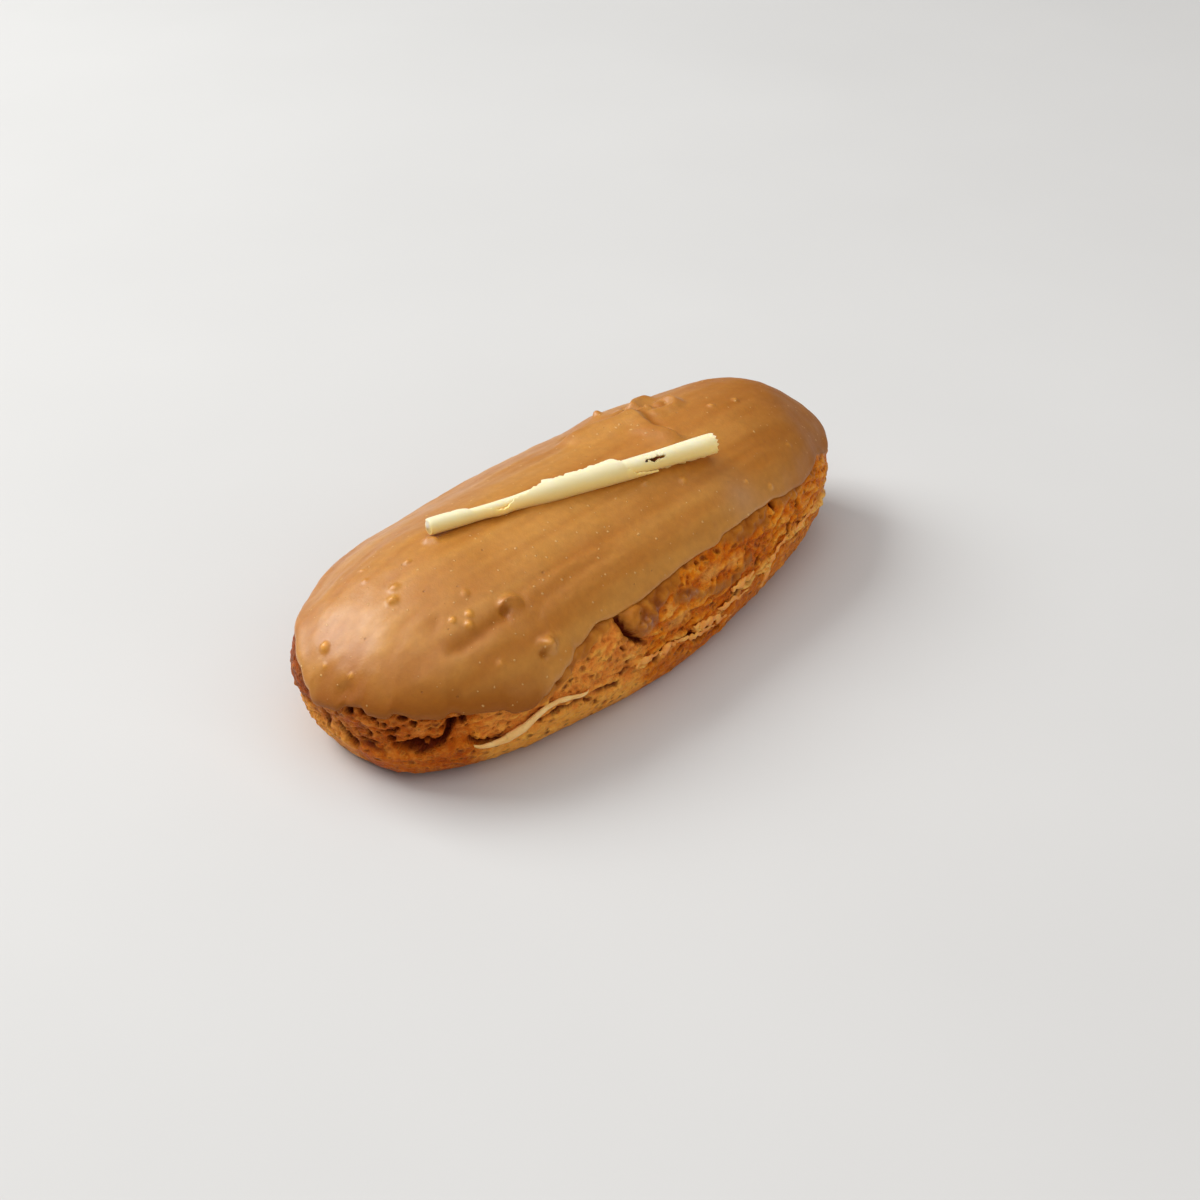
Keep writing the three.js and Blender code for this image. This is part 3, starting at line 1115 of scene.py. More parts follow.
@dataclass(frozen=True)
class IcingEdge:
    """Height of the icing's scalloped lower edge round the bun."""

    form: BunForm
    noise: ReliefNoise
    stops: Stops = (
        (0.0, 19.0), (0.06, 21.5), (0.11, 19.6), (0.15, 20.5), (0.2, 23.4), (0.24, 22.6), (0.29, 23.2),
        (0.33, 20.6), (0.37, 22.4), (0.41, 22.4), (0.44, 22.2), (0.46, 21.6), (0.477, 20.0),
        (0.4905, 17.7), (0.4955, 15.8), (0.5112, 16.6), (0.5171, 18.1), (0.5265, 18.5), (0.5312, 17.5),
        (0.5406, 17.3), (0.5447, 18.4), (0.5488, 18.2), (0.5571, 17.4), (0.57, 16.9), (0.5741, 17.8),
        (0.5853, 16.9), (0.6018, 16.1), (0.6112, 14.4), (0.6206, 14.1), (0.6288, 15.9), (0.6371, 17.5),
        (0.6465, 19.1), (0.6576, 21.1), (0.6776, 22.8), (0.6894, 22.5), (0.7065, 22.5), (0.7376, 23.0),
        (0.7524, 23.4), (0.7871, 23.1), (0.7965, 23.7), (0.8288, 23.5), (0.8471, 23.2), (0.8647, 22.2),
        (0.8924, 21.2), (0.9241, 21.8), (0.95, 18.6), (1.0, 19.0),
    )
    ripple: Layers = (Layer(0.5, 4.5), Layer(0.22, 1.7))
    calm: Stretch = Stretch(0.46, 0.94, 0.02)
    calm_share: float = 0.35

    def height(self, station: Array) -> Array:
        """Height of the edge at stations.

        Args:
            station: Stations.

        Returns:
            Heights in millimetres.
        """
        ring = self.form.skin(station, np.zeros_like(station), np.zeros_like(station))
        liveliness = 1 - (1 - self.calm_share) * self.calm.share(station)
        return follow(self.stops, station) + self.noise.waves(ring, self.ripple) * liveliness


@dataclass(frozen=True)
class Patch:
    """An oval patch on the flank: its station, height, half-length, half-height and rise along it."""

    station: float
    height: float
    half_length: float
    half_height: float
    slant: float = 0.0

    def apart(self, form: BunForm, station: Array, height: Array) -> Array:
        """Distance from the middle of the patch, as a share of its size.

        Args:
            form: The bun's form.
            station: Stations.
            height: Heights, of the same shape.

        Returns:
            Shares, 1 at the patch's border.
        """
        around = (station - self.station) * form.perimeter
        above = height - self.height - self.slant * around
        return np.hypot(around / self.half_length, above / self.half_height)


@dataclass(frozen=True)
class Hollow(Patch):
    """A ragged hole in the crust."""

    depth: float = 1.6


@dataclass(frozen=True)
class Cleft:
    """A crack that runs down the flank from the icing's edge, steep on its left side, darkened by painted
    shade.
    """

    route: Stops = ((14.0, 0.7085), (15.0, 0.7047), (17.4, 0.6975), (19.8, 0.693), (23.0, 0.691))
    ends: Pair = (15.0, 22.4)
    fade: float = 1.6
    depth: float = 2.6
    half_width: float = 1.15
    steepness: float = 2.0

    def dip(self, form: BunForm, station: Array, height: Array) -> Array:
        """Depth of the crack below the skin.

        Args:
            form: The bun's form.
            station: Stations.
            height: Heights, of the same shape.

        Returns:
            Depths in millimetres.
        """
        aside = (station - follow(self.route, height)) * form.perimeter
        aside = np.where(aside < 0, aside * self.steepness, aside)
        return self.depth * span(*self.ends, self.fade, height) * bell(aside, self.half_width)


@dataclass(frozen=True)
class CrustShaping:
    """Borders, from where a thing starts to where it is full, and shares, of the crust's relief."""

    icing_border: Pair = (-0.8, 0.8)
    split_border: Pair = (-0.5, 0.9)
    torn_calm: float = 0.6
    film_border: Pair = (-0.5, 0.9)
    film_above_split: Pair = (0.5, 2.5)
    film_cover: float = 0.8
    film_lift: float = 0.3
    film_fill: float = 0.85
    film_fill_depth: Pair = (0.9, 0.5)
    glaze_fray: float = 0.6
    glaze_stop: float = 9.0
    smooth_share: float = 0.5
    drift_step: float = 31.0
    strand_rise: float = 1.5
    strand_cover: float = 0.75
    strand_pore_draw: Triple = (2.0, 1.0, 1.0)
    fibre_grain: Layer = Layer(0.3, 1.3)
    rib_middle: float = 10.0
    rib_border: Pair = (7.0, 3.0)
    shred_patch: float = 7.0
    shred_patch_border: Pair = (-0.6, 0.1)
    shred_border: Pair = (-0.3, 0.15)
    shred_rise: float = 1.0
    shred_half: float = 1.3
    shred_lift: float = 0.4
    lower_texture: float = 0.45
    lower_fibres: float = 0.25
    block_border: Pair = (1.15, 0.75)
    lip_border: Pair = (0.6, -1.2)
    lip_foot: Pair = (0.5, 5.0)
    left_dip_span: Triple = (3.0, 12.0, 3.0)
    shelf_start: Pair = (-0.2, 1.0)
    shelf_end: Pair = (8.0, 2.0)
    seam_draw: float = 1.6
    seam_drop: float = 1.4
    groove_patch: float = 6.0
    groove_border: Pair = (-0.3, 0.4)
    groove_half: float = 0.6
    groove_left: float = 0.7
    hole_fray: Layers = (Layer(0.18, 1.3), Layer(0.15, 3.0))
    hole_wall: Pair = (1.25, 0.55)
    hole_inside: Pair = (1.2, 0.85)
    cleft_fray: float = 1.2


@dataclass(frozen=True)
class CrustTones:
    """Borders, from where a tone starts to where it is full, and shares, of the crust's colours."""

    wet_border: Pair = (1.2, 0.6)
    wet_dark: float = 0.4
    light_border: Pair = (1.2, 0.3)
    fibre_light: float = 0.34
    fibre_heights: Pair = (15.0, 8.0)
    foot_light: float = 0.45
    foot_border: Pair = (1.0, -3.0)
    rim_brown: float = 0.9
    rim_heights: Pair = (9.5, 15.5)
    rim_waver: float = 1.5
    rim_dark: float = 0.36
    rim_shade: float = 0.3
    far_foot: float = 0.4
    far_patch: float = 9.0
    far_patch_border: Pair = (-0.5, 0.3)
    far_blush: float = 0.6
    lower_shade: float = 0.5
    rib_shade: float = 0.8
    rib_pale: float = 0.55
    cavity_depth: Pair = (0.3, 1.15)
    hole_dark: float = 0.9
    rise_usual: float = 0.56
    rise_gain: float = 0.95
    rise_waver: float = 0.15
    end_brown: Pair = (0.3, 0.55)
    most_brown: float = 0.9
    pinkish_blush: float = 0.8
    pinkish_border: Pair = (-12.0, 0.5)
    lower: float = 0.8
    lower_sunny: float = 0.6
    lower_fibrous: float = 0.7
    film: float = 0.86
    film_hole: Pair = (1.4, 0.7)


@dataclass(frozen=True)
class CrustSpots:
    """Points of the crust: where they are, and their shares of what lies there."""

    station: Array
    place: Array
    height: Array
    uneven: Array
    torn: Array
    gap: Array
    film: Array
    upper: Array
    bare: Array
    wet: Array
    near_end: Array
    pinkish: Array
    fibrous: Array


@dataclass
class ChouxCrust:
    """The baked bun with its split, crags, pores, torn dough shreds and patches of thin icing film."""

    form: BunForm
    edge: IcingEdge
    noise: ReliefNoise
    finish: CrustFinish
    cleft: Cleft = Cleft()
    shaping: CrustShaping = CrustShaping()
    tones: CrustTones = CrustTones()
    columns: int = 900
    flank_rows: int = 88
    covered_rows: int = 6
    underside_rows: int = 4
    covered: float = 2.0
    bed: float = 0.25
    firm_height: float = 2.5
    split: Stops = (
        (0.0, 12.0), (0.08, 11.0), (0.15, 10.0), (0.22, 8.4), (0.3, 8.2), (0.36, 9.4), (0.42, 9.6),
        (0.47, 9.4), (0.5, 9.2), (0.515, 8.2), (0.537, 8.8), (0.553, 8.6), (0.57, 10.2), (0.581, 10.6),
        (0.59, 8.4), (0.61, 7.6), (0.65, 9.6), (0.68, 8.6), (0.705, 8.2), (0.739, 8.6), (0.765, 7.4),
        (0.779, 6.4), (0.791, 8.2), (0.802, 10.4), (0.839, 10.2), (0.85, 11.8), (0.88, 11.6),
        (0.905, 11.0), (1.0, 12.0),
    )
    near_end: Stretch = Stretch(0.488, 0.58, 0.012)
    fibrous: Stretch = Stretch(0.43, 0.503, 0.02)
    pinkish: Stretch = Stretch(0.6, 0.7, 0.02)
    calm: Stretch = Stretch(0.36, 0.5, 0.02)
    calm_share: float = 0.45
    shredded: tuple[Stretch, ...] = (Stretch(0.69, 0.96, 0.03), Stretch(0.05, 0.38, 0.06))
    ragged: Layer = Layer(0.7, 5.5)
    fray: Layers = (Layer(0.4, 2.1),)
    broad: Layers = (Layer(0.4, 7.5),)
    crags: Layers = (Layer(0.5, 2.4), Layer(0.26, 1.2))
    crumbs: Layers = (Layer(0.25, 1.6), Layer(0.2, 0.9))
    grains: Layers = (Layer(0.28, 1.5), Layer(0.2, 0.8))
    flakiness: Triple = (0.5, 0.5, 1.0)
    swirl: Layer = Layer(0.8, 4.5)
    strand_draw: float = 0.2
    strand_folds: Layer = Layer(0.75, 1.3)
    strand_reach: float = 3.0
    strand_pores: Pitting = Pitting(1.7, 0.45, 0.5, 1.7)
    shelf: float = 0.7
    lip: float = 0.4
    end_lip: float = 0.3
    left_side: Stretch = Stretch(0.4, 0.512, 0.02)
    left_dip: float = 0.7
    rim_stretch: Stretch = Stretch(0.42, 0.492, 0.012)
    far_stretch: Stretch = Stretch(0.04, 0.4, 0.03)
    far_share: float = 0.75
    sunny: Stretch = Stretch(0.68, 0.97, 0.03)
    far_front: Stretch = Stretch(0.85, 0.97, 0.03)
    far_front_light: float = 0.16
    upright: Triple = (1.0, 1.0, 0.16)
    fibres: Layer = Layer(0.28, 1.4)
    film_lumps: Layers = (Layer(0.5, 2.4), Layer(0.3, 1.2))
    wet_lumps: Pitting = Pitting(1.6, 0.8, 0.85, 1.0)
    fine_pores: Pitting = Pitting(1.9, 0.42, 0.6, 1.0)
    band_pores: Pitting = Pitting(2.2, 0.58, 0.7, 1.4)
    seam_pores: Pitting = Pitting(2.0, 0.5, 0.6, 1.2)
    groove: float = 1.3
    hollows: tuple[Hollow, ...] = (
        Hollow(0.55, 10.0, 2.7, 1.15, -0.03, 2.4), Hollow(0.54, 11.6, 0.9, 0.9, 0.0, 1.8),
        Hollow(0.5265, 10.0, 1.7, 0.6, 0.0, 1.4), Hollow(0.561, 10.7, 1.5, 0.8, -0.3, 1.9),
        Hollow(0.5685, 11.0, 1.3, 0.8, 0.4, 1.9), Hollow(0.5722, 12.6, 0.8, 1.2, 0.8, 1.9),
        Hollow(0.5735, 14.7, 1.1, 1.5, 0.3, 2.0), Hollow(0.5806, 15.2, 0.7, 1.1, 0.0, 1.6),
        Hollow(0.5165, 16.9, 0.9, 0.8, 0.0, 1.5), Hollow(0.5253, 17.8, 0.9, 0.8, 0.0, 1.5),
        Hollow(0.5312, 16.7, 0.7, 0.7, 0.0, 1.3), Hollow(0.5482, 17.2, 0.9, 0.7, 0.0, 1.2),
        Hollow(0.4935, 10.0, 0.7, 1.7, -0.8, 1.4), Hollow(0.5059, 10.3, 1.0, 0.9, -0.6, 1.6),
        Hollow(0.5128, 8.3, 1.7, 1.25, -0.6, 2.0), Hollow(0.5535, 16.0, 0.6, 0.6, 0.0, 1.2),
        Hollow(0.5376, 15.5, 0.5, 0.5, 0.0, 1.1), Hollow(0.5394, 13.7, 1.4, 0.4, 0.0, 0.9),
        Hollow(0.5276, 12.4, 0.5, 0.9, 0.0, 1.3), Hollow(0.544, 14.6, 0.5, 0.5, 0.0, 1.0),
        Hollow(0.691, 16.0, 0.9, 0.5, -1.0, 1.6), Hollow(0.6406, 16.9, 0.6, 0.6, 0.0, 1.4),
        Hollow(0.6965, 12.0, 0.6, 0.6, 0.0, 1.2), Hollow(0.6941, 9.8, 1.4, 0.6, 0.3, 1.2),
        Hollow(0.7141, 8.7, 0.8, 0.5, 0.0, 1.2), Hollow(0.7206, 8.5, 0.6, 0.5, 0.0, 1.2),
        Hollow(0.7635, 6.0, 2.0, 0.7, -0.1, 1.6), Hollow(0.7818, 4.8, 1.6, 0.6, -0.1, 1.4),
        Hollow(0.7441, 7.1, 1.2, 0.5, 0.0, 1.2), Hollow(0.849, 22.0, 0.9, 0.9, 0.0, 1.6),
        Hollow(0.6712, 6.5, 0.5, 0.5, 0.0, 1.2), Hollow(0.6629, 8.4, 0.5, 0.5, 0.0, 1.2),
        Hollow(0.8612, 15.5, 0.8, 1.4, 0.4, 1.4), Hollow(0.8776, 18.6, 0.7, 1.2, 0.6, 1.4),
        Hollow(0.822, 14.2, 1.2, 0.8, 0.5, 1.4), Hollow(0.8, 11.2, 1.6, 0.6, -0.1, 1.2),
    )
    film_reach: Stops = (
        (0.0, 0.6), (0.05, 1.6), (0.1, 2.6), (0.14, 0.6), (0.28, 0.8), (0.31, 2.8), (0.34, 0.8),
        (0.46, 0.0), (0.61, 0.0), (0.62, 0.6), (0.634, 3.4), (0.646, 3.8), (0.66, 2.4), (0.675, 2.0),
        (0.688, 1.0), (0.691, 5.0), (0.703, 6.0), (0.715, 4.6), (0.73, 3.0), (0.742, 2.4), (0.754, 0.4),
        (0.786, 0.4), (0.8, 2.2), (0.815, 3.0), (0.835, 2.8), (0.848, 0.4), (0.855, 1.5), (0.876, 1.7),
        (0.892, 0.6), (0.91, 1.2), (0.94, 0.4), (1.0, 0.6),
    )
    film_fray: Layers = (Layer(1.1, 4.5), Layer(0.8, 1.9))
    glaze: Stops = (
        (0.736, 19.4), (0.7524, 18.3), (0.7653, 16.4), (0.7806, 14.8), (0.7965, 14.8), (0.8071, 15.7),
        (0.8153, 16.8),
    )
    block: Patch = Patch(0.7085, 19.0, 4.2, 3.4, -0.3)
    block_height: float = 1.1
    glaze_half: float = 1.3
    light_share: float = 0.4
    glaze_stretch: Stretch = Stretch(0.738, 0.814, 0.006)
    light_spots: tuple[Patch, ...] = (
        Patch(0.7747, 19.3, 4.2, 1.7), Patch(0.7976, 18.4, 3.6, 1.4), Patch(0.7335, 18.0, 2.4, 1.6),
        Patch(0.7412, 14.4, 4.5, 2.2), Patch(0.7, 12.8, 4.0, 1.6),
    )
    wet_spots: tuple[Patch, ...] = (
        Patch(0.7095, 18.7, 2.4, 2.0), Patch(0.7225, 19.6, 3.0, 1.4), Patch(0.752, 18.6, 3.2, 1.0),
    )

    def _nearest(self, patches: tuple[Patch, ...], station: Array, height: Array) -> Array:
        """Distance to the nearest of some patches, as a share of its size."""
        return np.min([patch.apart(self.form, station, height) for patch in patches], axis=0)

    def _film(self, station: Array, place: Array) -> Array:
        """Where a thin film has run from the icing's edge onto the crust, and a streak of it lower down.

        Args:
            station: Stations.
            place: Points on the smooth skin.

        Returns:
            Mask from 0 to 1.
        """
        height = place[..., 2]
        fray = self.noise.waves(place, self.film_fray)
        below = self.edge.height(station) - height
        run = follow(self.film_reach, station) - below + fray
        aside = np.abs(height - follow(self.glaze, station))
        stop = self.shaping.glaze_stop * (1 - self.glaze_stretch.share(station))
        streak = self.glaze_half - aside + self.shaping.glaze_fray * fray - stop
        return ease(*self.shaping.film_border, np.maximum(run, streak))

    def _spots(self, station: Array, latitude: Array) -> CrustSpots:
        """Gathers what lies at points of the crust.

        Args:
            station: Stations.
            latitude: Latitudes, of the same shape.

        Returns:
            The points.
        """
        rules = self.shaping
        place = self.form.skin(station, latitude, np.zeros_like(station))
        height = place[..., 2]
        uneven = self.noise.wave(place, self.ragged.size)
        torn = np.max([stretch.share(station) for stretch in self.shredded], axis=0)
        frayed = self.ragged.height * uneven + self.noise.waves(place, self.fray)
        gap = height - follow(self.split, station) + frayed * (1 - rules.torn_calm * torn)
        film = self._film(station, place) * ease(*rules.film_above_split, gap)
        return CrustSpots(
            station, place, height, uneven, torn, gap, film,
            upper=ease(*rules.split_border, gap),
            bare=ease(*rules.icing_border, self.edge.height(station) - height),
            wet=ease(*self.tones.wet_border, self._nearest(self.wet_spots, station, height)) * film,
            near_end=self.near_end.share(station),
            pinkish=self.pinkish.share(station),
            fibrous=self.fibrous.share(station),
        )

    def _drawn(self, spots: CrustSpots) -> Array:
        """Coordinates that are drawn out along the split, for strands of stretched dough.

        Args:
            spots: Points of the crust.

        Returns:
            Points to read noise at.
        """
        onward = spots.station * self.form.perimeter * self.strand_draw
        bent = spots.gap + self.swirl.height * self.noise.wave(spots.place, self.swirl.size)
        return np.stack([onward, bent, np.zeros_like(spots.gap)], axis=-1)

    def _depth(self, spots: CrustSpots) -> tuple[Array, Array]:
        """Depth of the pores, holes, split and cleft below the crust.

        Args:
            spots: Points of the crust.

        Returns:
            Depths in millimetres, and a mask of the insides of the holes, for their painted shade.
        """
        noise, rules = self.noise, self.shaping
        place, gap, upper = spots.place, spots.gap, spots.upper
        fray = noise.waves(place, rules.hole_fray)
        depth = noise.pits(place, self.fine_pores) * upper
        depth += noise.pits(place, self.band_pores) * spots.near_end * upper
        seam = place * self.flakiness * rules.seam_draw
        depth += noise.pits(seam, self.seam_pores) * bell(gap + rules.seam_drop, rules.seam_drop)
        drawn = self._drawn(spots) * rules.strand_pore_draw
        strands = spots.torn * bell(gap - rules.strand_rise, self.strand_reach)
        depth += noise.pits(drawn, self.strand_pores) * strands
        closed = rules.groove_left * self.left_side.share(spots.station)
        parted = ease(*rules.groove_border, noise.wave(place, rules.groove_patch)) * (1 - closed)
        depth += self.groove * bell(gap, rules.groove_half) * parted
        inside = np.zeros_like(gap)
        for hollow in self.hollows:
            apart = hollow.apart(self.form, spots.station, spots.height) + fray
            depth += hollow.depth * ease(*rules.hole_wall, apart)
            inside = np.maximum(inside, ease(*rules.hole_inside, apart))
        crack = self.cleft.dip(self.form, spots.station, spots.height + rules.cleft_fray * fray)
        return depth + crack, inside

    def _crumbs(self, spots: CrustSpots, strand: Array) -> Array:
        """Crumbly texture, which gives way to strands along the split.

        Args:
            spots: Points of the crust.
            strand: Heights of the strands there.

        Returns:
            Heights in millimetres.
        """
        noise, rules, place = self.noise, self.shaping, spots.place
        smooth = np.maximum(spots.near_end, spots.pinkish)
        steps = rules.drift_step * np.arange(1, 4)
        drift = np.stack([noise.wave(place + step, self.swirl.size) for step in steps], axis=-1)
        flaky = place * self.flakiness + self.swirl.height * drift
        crags = sum(noise.folds(flaky, layer) for layer in self.crags) * (1 - rules.smooth_share * smooth)
        crumbs = crags + noise.waves(flaky, self.crumbs) + noise.waves(place, self.grains) * smooth
        bundle = spots.torn * bell(spots.gap - rules.strand_rise, self.strand_reach)
        return crumbs * (1 - rules.strand_cover * bundle) + strand * bundle

    def _lip(self, spots: CrustSpots) -> Array:
        """The lip below the split, the dip on the left side and the shelf over the near end.

        Args:
            spots: Points of the crust.

        Returns:
            Heights in millimetres.
        """
        rules, gap = self.shaping, spots.gap
        left = self.left_side.share(spots.station)
        lip = (self.lip + self.end_lip * spots.near_end) * ease(*rules.lip_border, gap)
        lip *= ease(*rules.lip_foot, spots.height) * (1 - left)
        lip -= self.left_dip * left * span(*rules.left_dip_span, spots.height)
        return lip - self.shelf * spots.near_end * ease(*rules.shelf_start, gap) * ease(*rules.shelf_end, gap)

    def _brown(self, spots: CrustSpots) -> tuple[Array, Array]:
        """Browning of the left rim, and of the far side.

        Args:
            spots: Points of the crust.

        Returns:
            Shares from 0 to 1 for the rim and for the far side.
        """
        tones = self.tones
        wavering = spots.height + tones.rim_waver * spots.uneven
        rim = tones.rim_brown * self.rim_stretch.share(spots.station) * ease(*tones.rim_heights, wavering)
        patches = ease(*tones.far_patch_border, self.noise.wave(spots.place, tones.far_patch))
        far = self.far_share * self.far_stretch.share(spots.station)
        return rim, far * (tones.far_foot + (1 - tones.far_foot) * spots.upper) * patches

    def _shade_and_tone(self, spots: CrustSpots, shade: Array, rim: Array) -> Array:
        """How light the crust is: painted shade and highlight from its relief, with a random waver.

        Args:
            spots: Points of the crust.
            shade: Its fine relief.
            rim: Browning of the left rim.

        Returns:
            Mask from 0 to 1.
        """
        tones = self.tones
        # Painted light on the fibrous left side, more towards its foot.
        brighter = tones.fibre_light * spots.fibrous * ease(*tones.fibre_heights, spots.height)
        brighter += tones.foot_light * spots.pinkish * ease(*tones.foot_border, spots.gap)
        brighter += self.far_front_light * self.far_front.share(spots.station)
        darker = tones.wet_dark * spots.wet + tones.rim_shade * rim
        usual = tones.rise_usual + tones.rise_gain * shade + tones.rise_waver * spots.uneven
        return np.clip(usual + brighter - darker, 0, 1)

    def _surface(self, station: Array, latitude: Array) -> tuple[Array, Masks]:
        """Relief of the crust and the masks for its colours.

        Args:
            station: Stations.
            latitude: Latitudes, of the same shape.

        Returns:
            Lift above the smooth skin, and the masks.
        """
        noise, rules, tones = self.noise, self.shaping, self.tones
        spots = self._spots(station, latitude)
        place, height, film, upper = spots.place, spots.height, spots.film, spots.upper
        strand = noise.folds(self._drawn(spots), self.strand_folds)
        crumbs = self._crumbs(spots, strand)
        fibres = noise.crests(place * self.upright, self.fibres)
        fibres = fibres + noise.waves(place, (rules.fibre_grain,))
        ribs = fibres * spots.fibrous * ease(*rules.rib_border, np.abs(height - rules.rib_middle))
        patchy = ease(*rules.shred_patch_border, noise.wave(place, rules.shred_patch)) * (1 - film)
        near_split = bell(spots.gap - rules.shred_rise, rules.shred_half)
        shreds = spots.torn * ease(*rules.shred_border, strand) * near_split * patchy
        depth, inside = self._depth(spots)
        depth *= 1 - rules.film_fill * film * ease(*rules.film_fill_depth, depth)

        coarseness = rules.lower_texture + (1 - rules.lower_texture) * upper
        texture = coarseness * (noise.waves(place, self.broad) + crumbs)
        texture += rules.lower_fibres * fibres * (1 - upper)
        texture *= 1 - (1 - self.calm_share) * self.calm.share(station)
        coated = noise.waves(place, self.film_lumps) + noise.pits(place, self.wet_lumps) * spots.wet
        block = self.block_height * ease(*rules.block_border, self.block.apart(self.form, station, height))
        relief = texture * (1 - rules.film_cover * film) + (rules.film_lift + coated) * film
        relief += block + ribs + self._lip(spots) + rules.shred_lift * shreds - depth
        firm = ease(0.0, self.firm_height, height)
        lift = relief * spots.bare * firm - self.bed * (1 - spots.bare)

        lower_shade = tones.lower_shade * fibres + (1 - tones.lower_shade) * crumbs
        shade = upper * crumbs + (1 - upper) * lower_shade + tones.rib_shade * ribs
        shade = shade * (1 - film) + coated * film
        rim, far = self._brown(spots)
        light = self.light_share * ease(*tones.light_border, self._nearest(self.light_spots, station, height))
        # Painted shade in deep pores, the cleft and inside the holes.
        dark = np.maximum(ease(*tones.cavity_depth, depth), tones.hole_dark * inside)
        least, more = tones.end_brown
        blush = tones.pinkish_blush * spots.pinkish * ease(*tones.pinkish_border, spots.gap)
        far_blush = tones.far_blush * np.maximum(self.far_stretch.share(station), spots.fibrous)
        lower = tones.lower * (1 - upper) * (1 - spots.pinkish)
        lower *= 1 - tones.lower_sunny * self.sunny.share(station)
        lower *= 1 - tones.lower_fibrous * spots.fibrous
        return lift, {
            Mask.CAVITY_SHADE: np.maximum(dark, tones.rim_dark * rim) * spots.bare,
            Mask.SHADE_AND_TONE: self._shade_and_tone(spots, shade, rim),
            Mask.PALE: np.clip(shreds + tones.rib_pale * np.clip(ribs, 0, 1) + light * (1 - film), 0, 1),
            Mask.BROWN: np.clip(spots.near_end * (least + more * upper) + rim + far, 0, tones.most_brown),
            Mask.BLUSH: np.maximum(blush, far_blush),
            Mask.LOWER: lower,
            Mask.FILM: tones.film * film * ease(*tones.film_hole, depth),
            Mask.WET: spots.wet,
        }

    def build(self, shared: SharedEffects) -> Object:
        """Makes the crust and dresses it.

        Args:
            shared: The shared node groups.

        Returns:
            The crust.
        """
        ring = np.arange(self.columns) / self.columns
        top = self.form.climb_at_height(self.edge.height(ring)) + self.covered
        flank = np.linspace(0, 1, self.flank_rows)[:, None] * top
        hidden = np.linspace(0, 1, self.covered_rows + 1)[1:, None]
        climbs = np.vstack([flank, top + (self.form.crest_climb - top) * hidden])
        station, latitude = self.form.grid(self.columns, climbs)
        lift, masks = self._surface(station, latitude)
        points = self.form.skin(station, latitude, lift)
        middle = np.clip(points[0, :, 0] - self.form.shift, -self.form.spine / 2, self.form.spine / 2)
        spine = np.stack([middle + self.form.shift, 0 * middle, 0 * middle], axis=-1)
        shares = np.linspace(0, 1, self.underside_rows, endpoint=False)[:, None, None]
        under = spine + (points[0] - spine) * shares
        points = np.concatenate([under, points])
        masks = {mask: np.concatenate([np.zeros(under.shape[:2]), values]) for mask, values in masks.items()}
        masks[Mask.LOWER][: self.underside_rows] = 1
        piece = make_piece("crust", points, masks)
        dress(piece, self.finish.material(shared), Slot.CRUST, CadNode.BUN)
        return piece


@dataclass(frozen=True)
class Lump:
    """A bump or dent in the icing: its place on the bun, its height, radius and how yellow it is."""

    x: float
    y: float
    z: float
    height: float
    radius: float
    yellow: float = 0.0
    steepness: int = 3

    def hump(self, place: Array, uneven: Union[float, Array] = 0.0) -> Array:
        """Share of the lump's height at points on the skin.

        Args:
            place: Points about the bun's middle, with their coordinates last.
            uneven: Unevenness of the lump's border there, in millimetres.

        Returns:
            Shares from 0 to 1.
        """
        middle = np.array([self.x, self.y, self.z])
        nearest = np.argmin(np.linalg.norm(place - middle, axis=-1))
        apart = np.linalg.norm(place - place.reshape(-1, 3)[nearest], axis=-1)
        return np.exp(-(np.maximum(apart + uneven, 0) / self.radius) ** self.steepness)


@dataclass(frozen=True)
class Wrinkle:
    """A ridge in the icing along some points: its height, its spread to either side, and its ends."""

    route: Stops
    height: float
    left: float
    right: float
    run_in: float = 0.0
    run_out: float = 0.0
    roundings: int = 3
    corner: float = 0.25

    @cached_property
    def _curve(self) -> Array:
        """Cuts the route's corners round.

        Returns:
            Points of the rounded route.
        """
        curve = np.array(self.route)
        for _ in range(self.roundings):
            near = (1 - self.corner) * curve[:-1] + self.corner * curve[1:]
            far = self.corner * curve[:-1] + (1 - self.corner) * curve[1:]
            curve = np.vstack([curve[:1], np.stack([near, far], axis=1).reshape(-1, 2), curve[-1:]])
        return curve

    def rise(self, along: Array, across: Array) -> Array:
        """Height of the ridge at places along and across the bun.

        Args:
            along: Places along the bun.
            across: Places across it, of the same shape.

        Returns:
            Heights in millimetres.
        """
        spot = np.stack([along, across], axis=-1)
        nearest = np.full(along.shape, np.inf)
        side, run = np.zeros_like(along), np.zeros_like(along)
        passed = 0.0
        for start, end in zip(self._curve, self._curve[1:]):
            step = end - start
            offset = spot - start
            share = np.clip(offset @ step / (step @ step), 0, 1)
            distance = np.linalg.norm(offset - share[..., None] * step, axis=-1)
            closer = distance < nearest
            side = np.where(closer, step[0] * offset[..., 1] - step[1] * offset[..., 0], side)
            run = np.where(closer, passed + share * np.linalg.norm(step), run)
            nearest = np.minimum(nearest, distance)
            passed += np.linalg.norm(step)
        ends = ease(-WELD, self.run_in, run) * ease(passed + WELD, passed - self.run_out, run)
        return self.height * ends * np.where(side > 0, bell(nearest, self.left), bell(nearest, self.right))


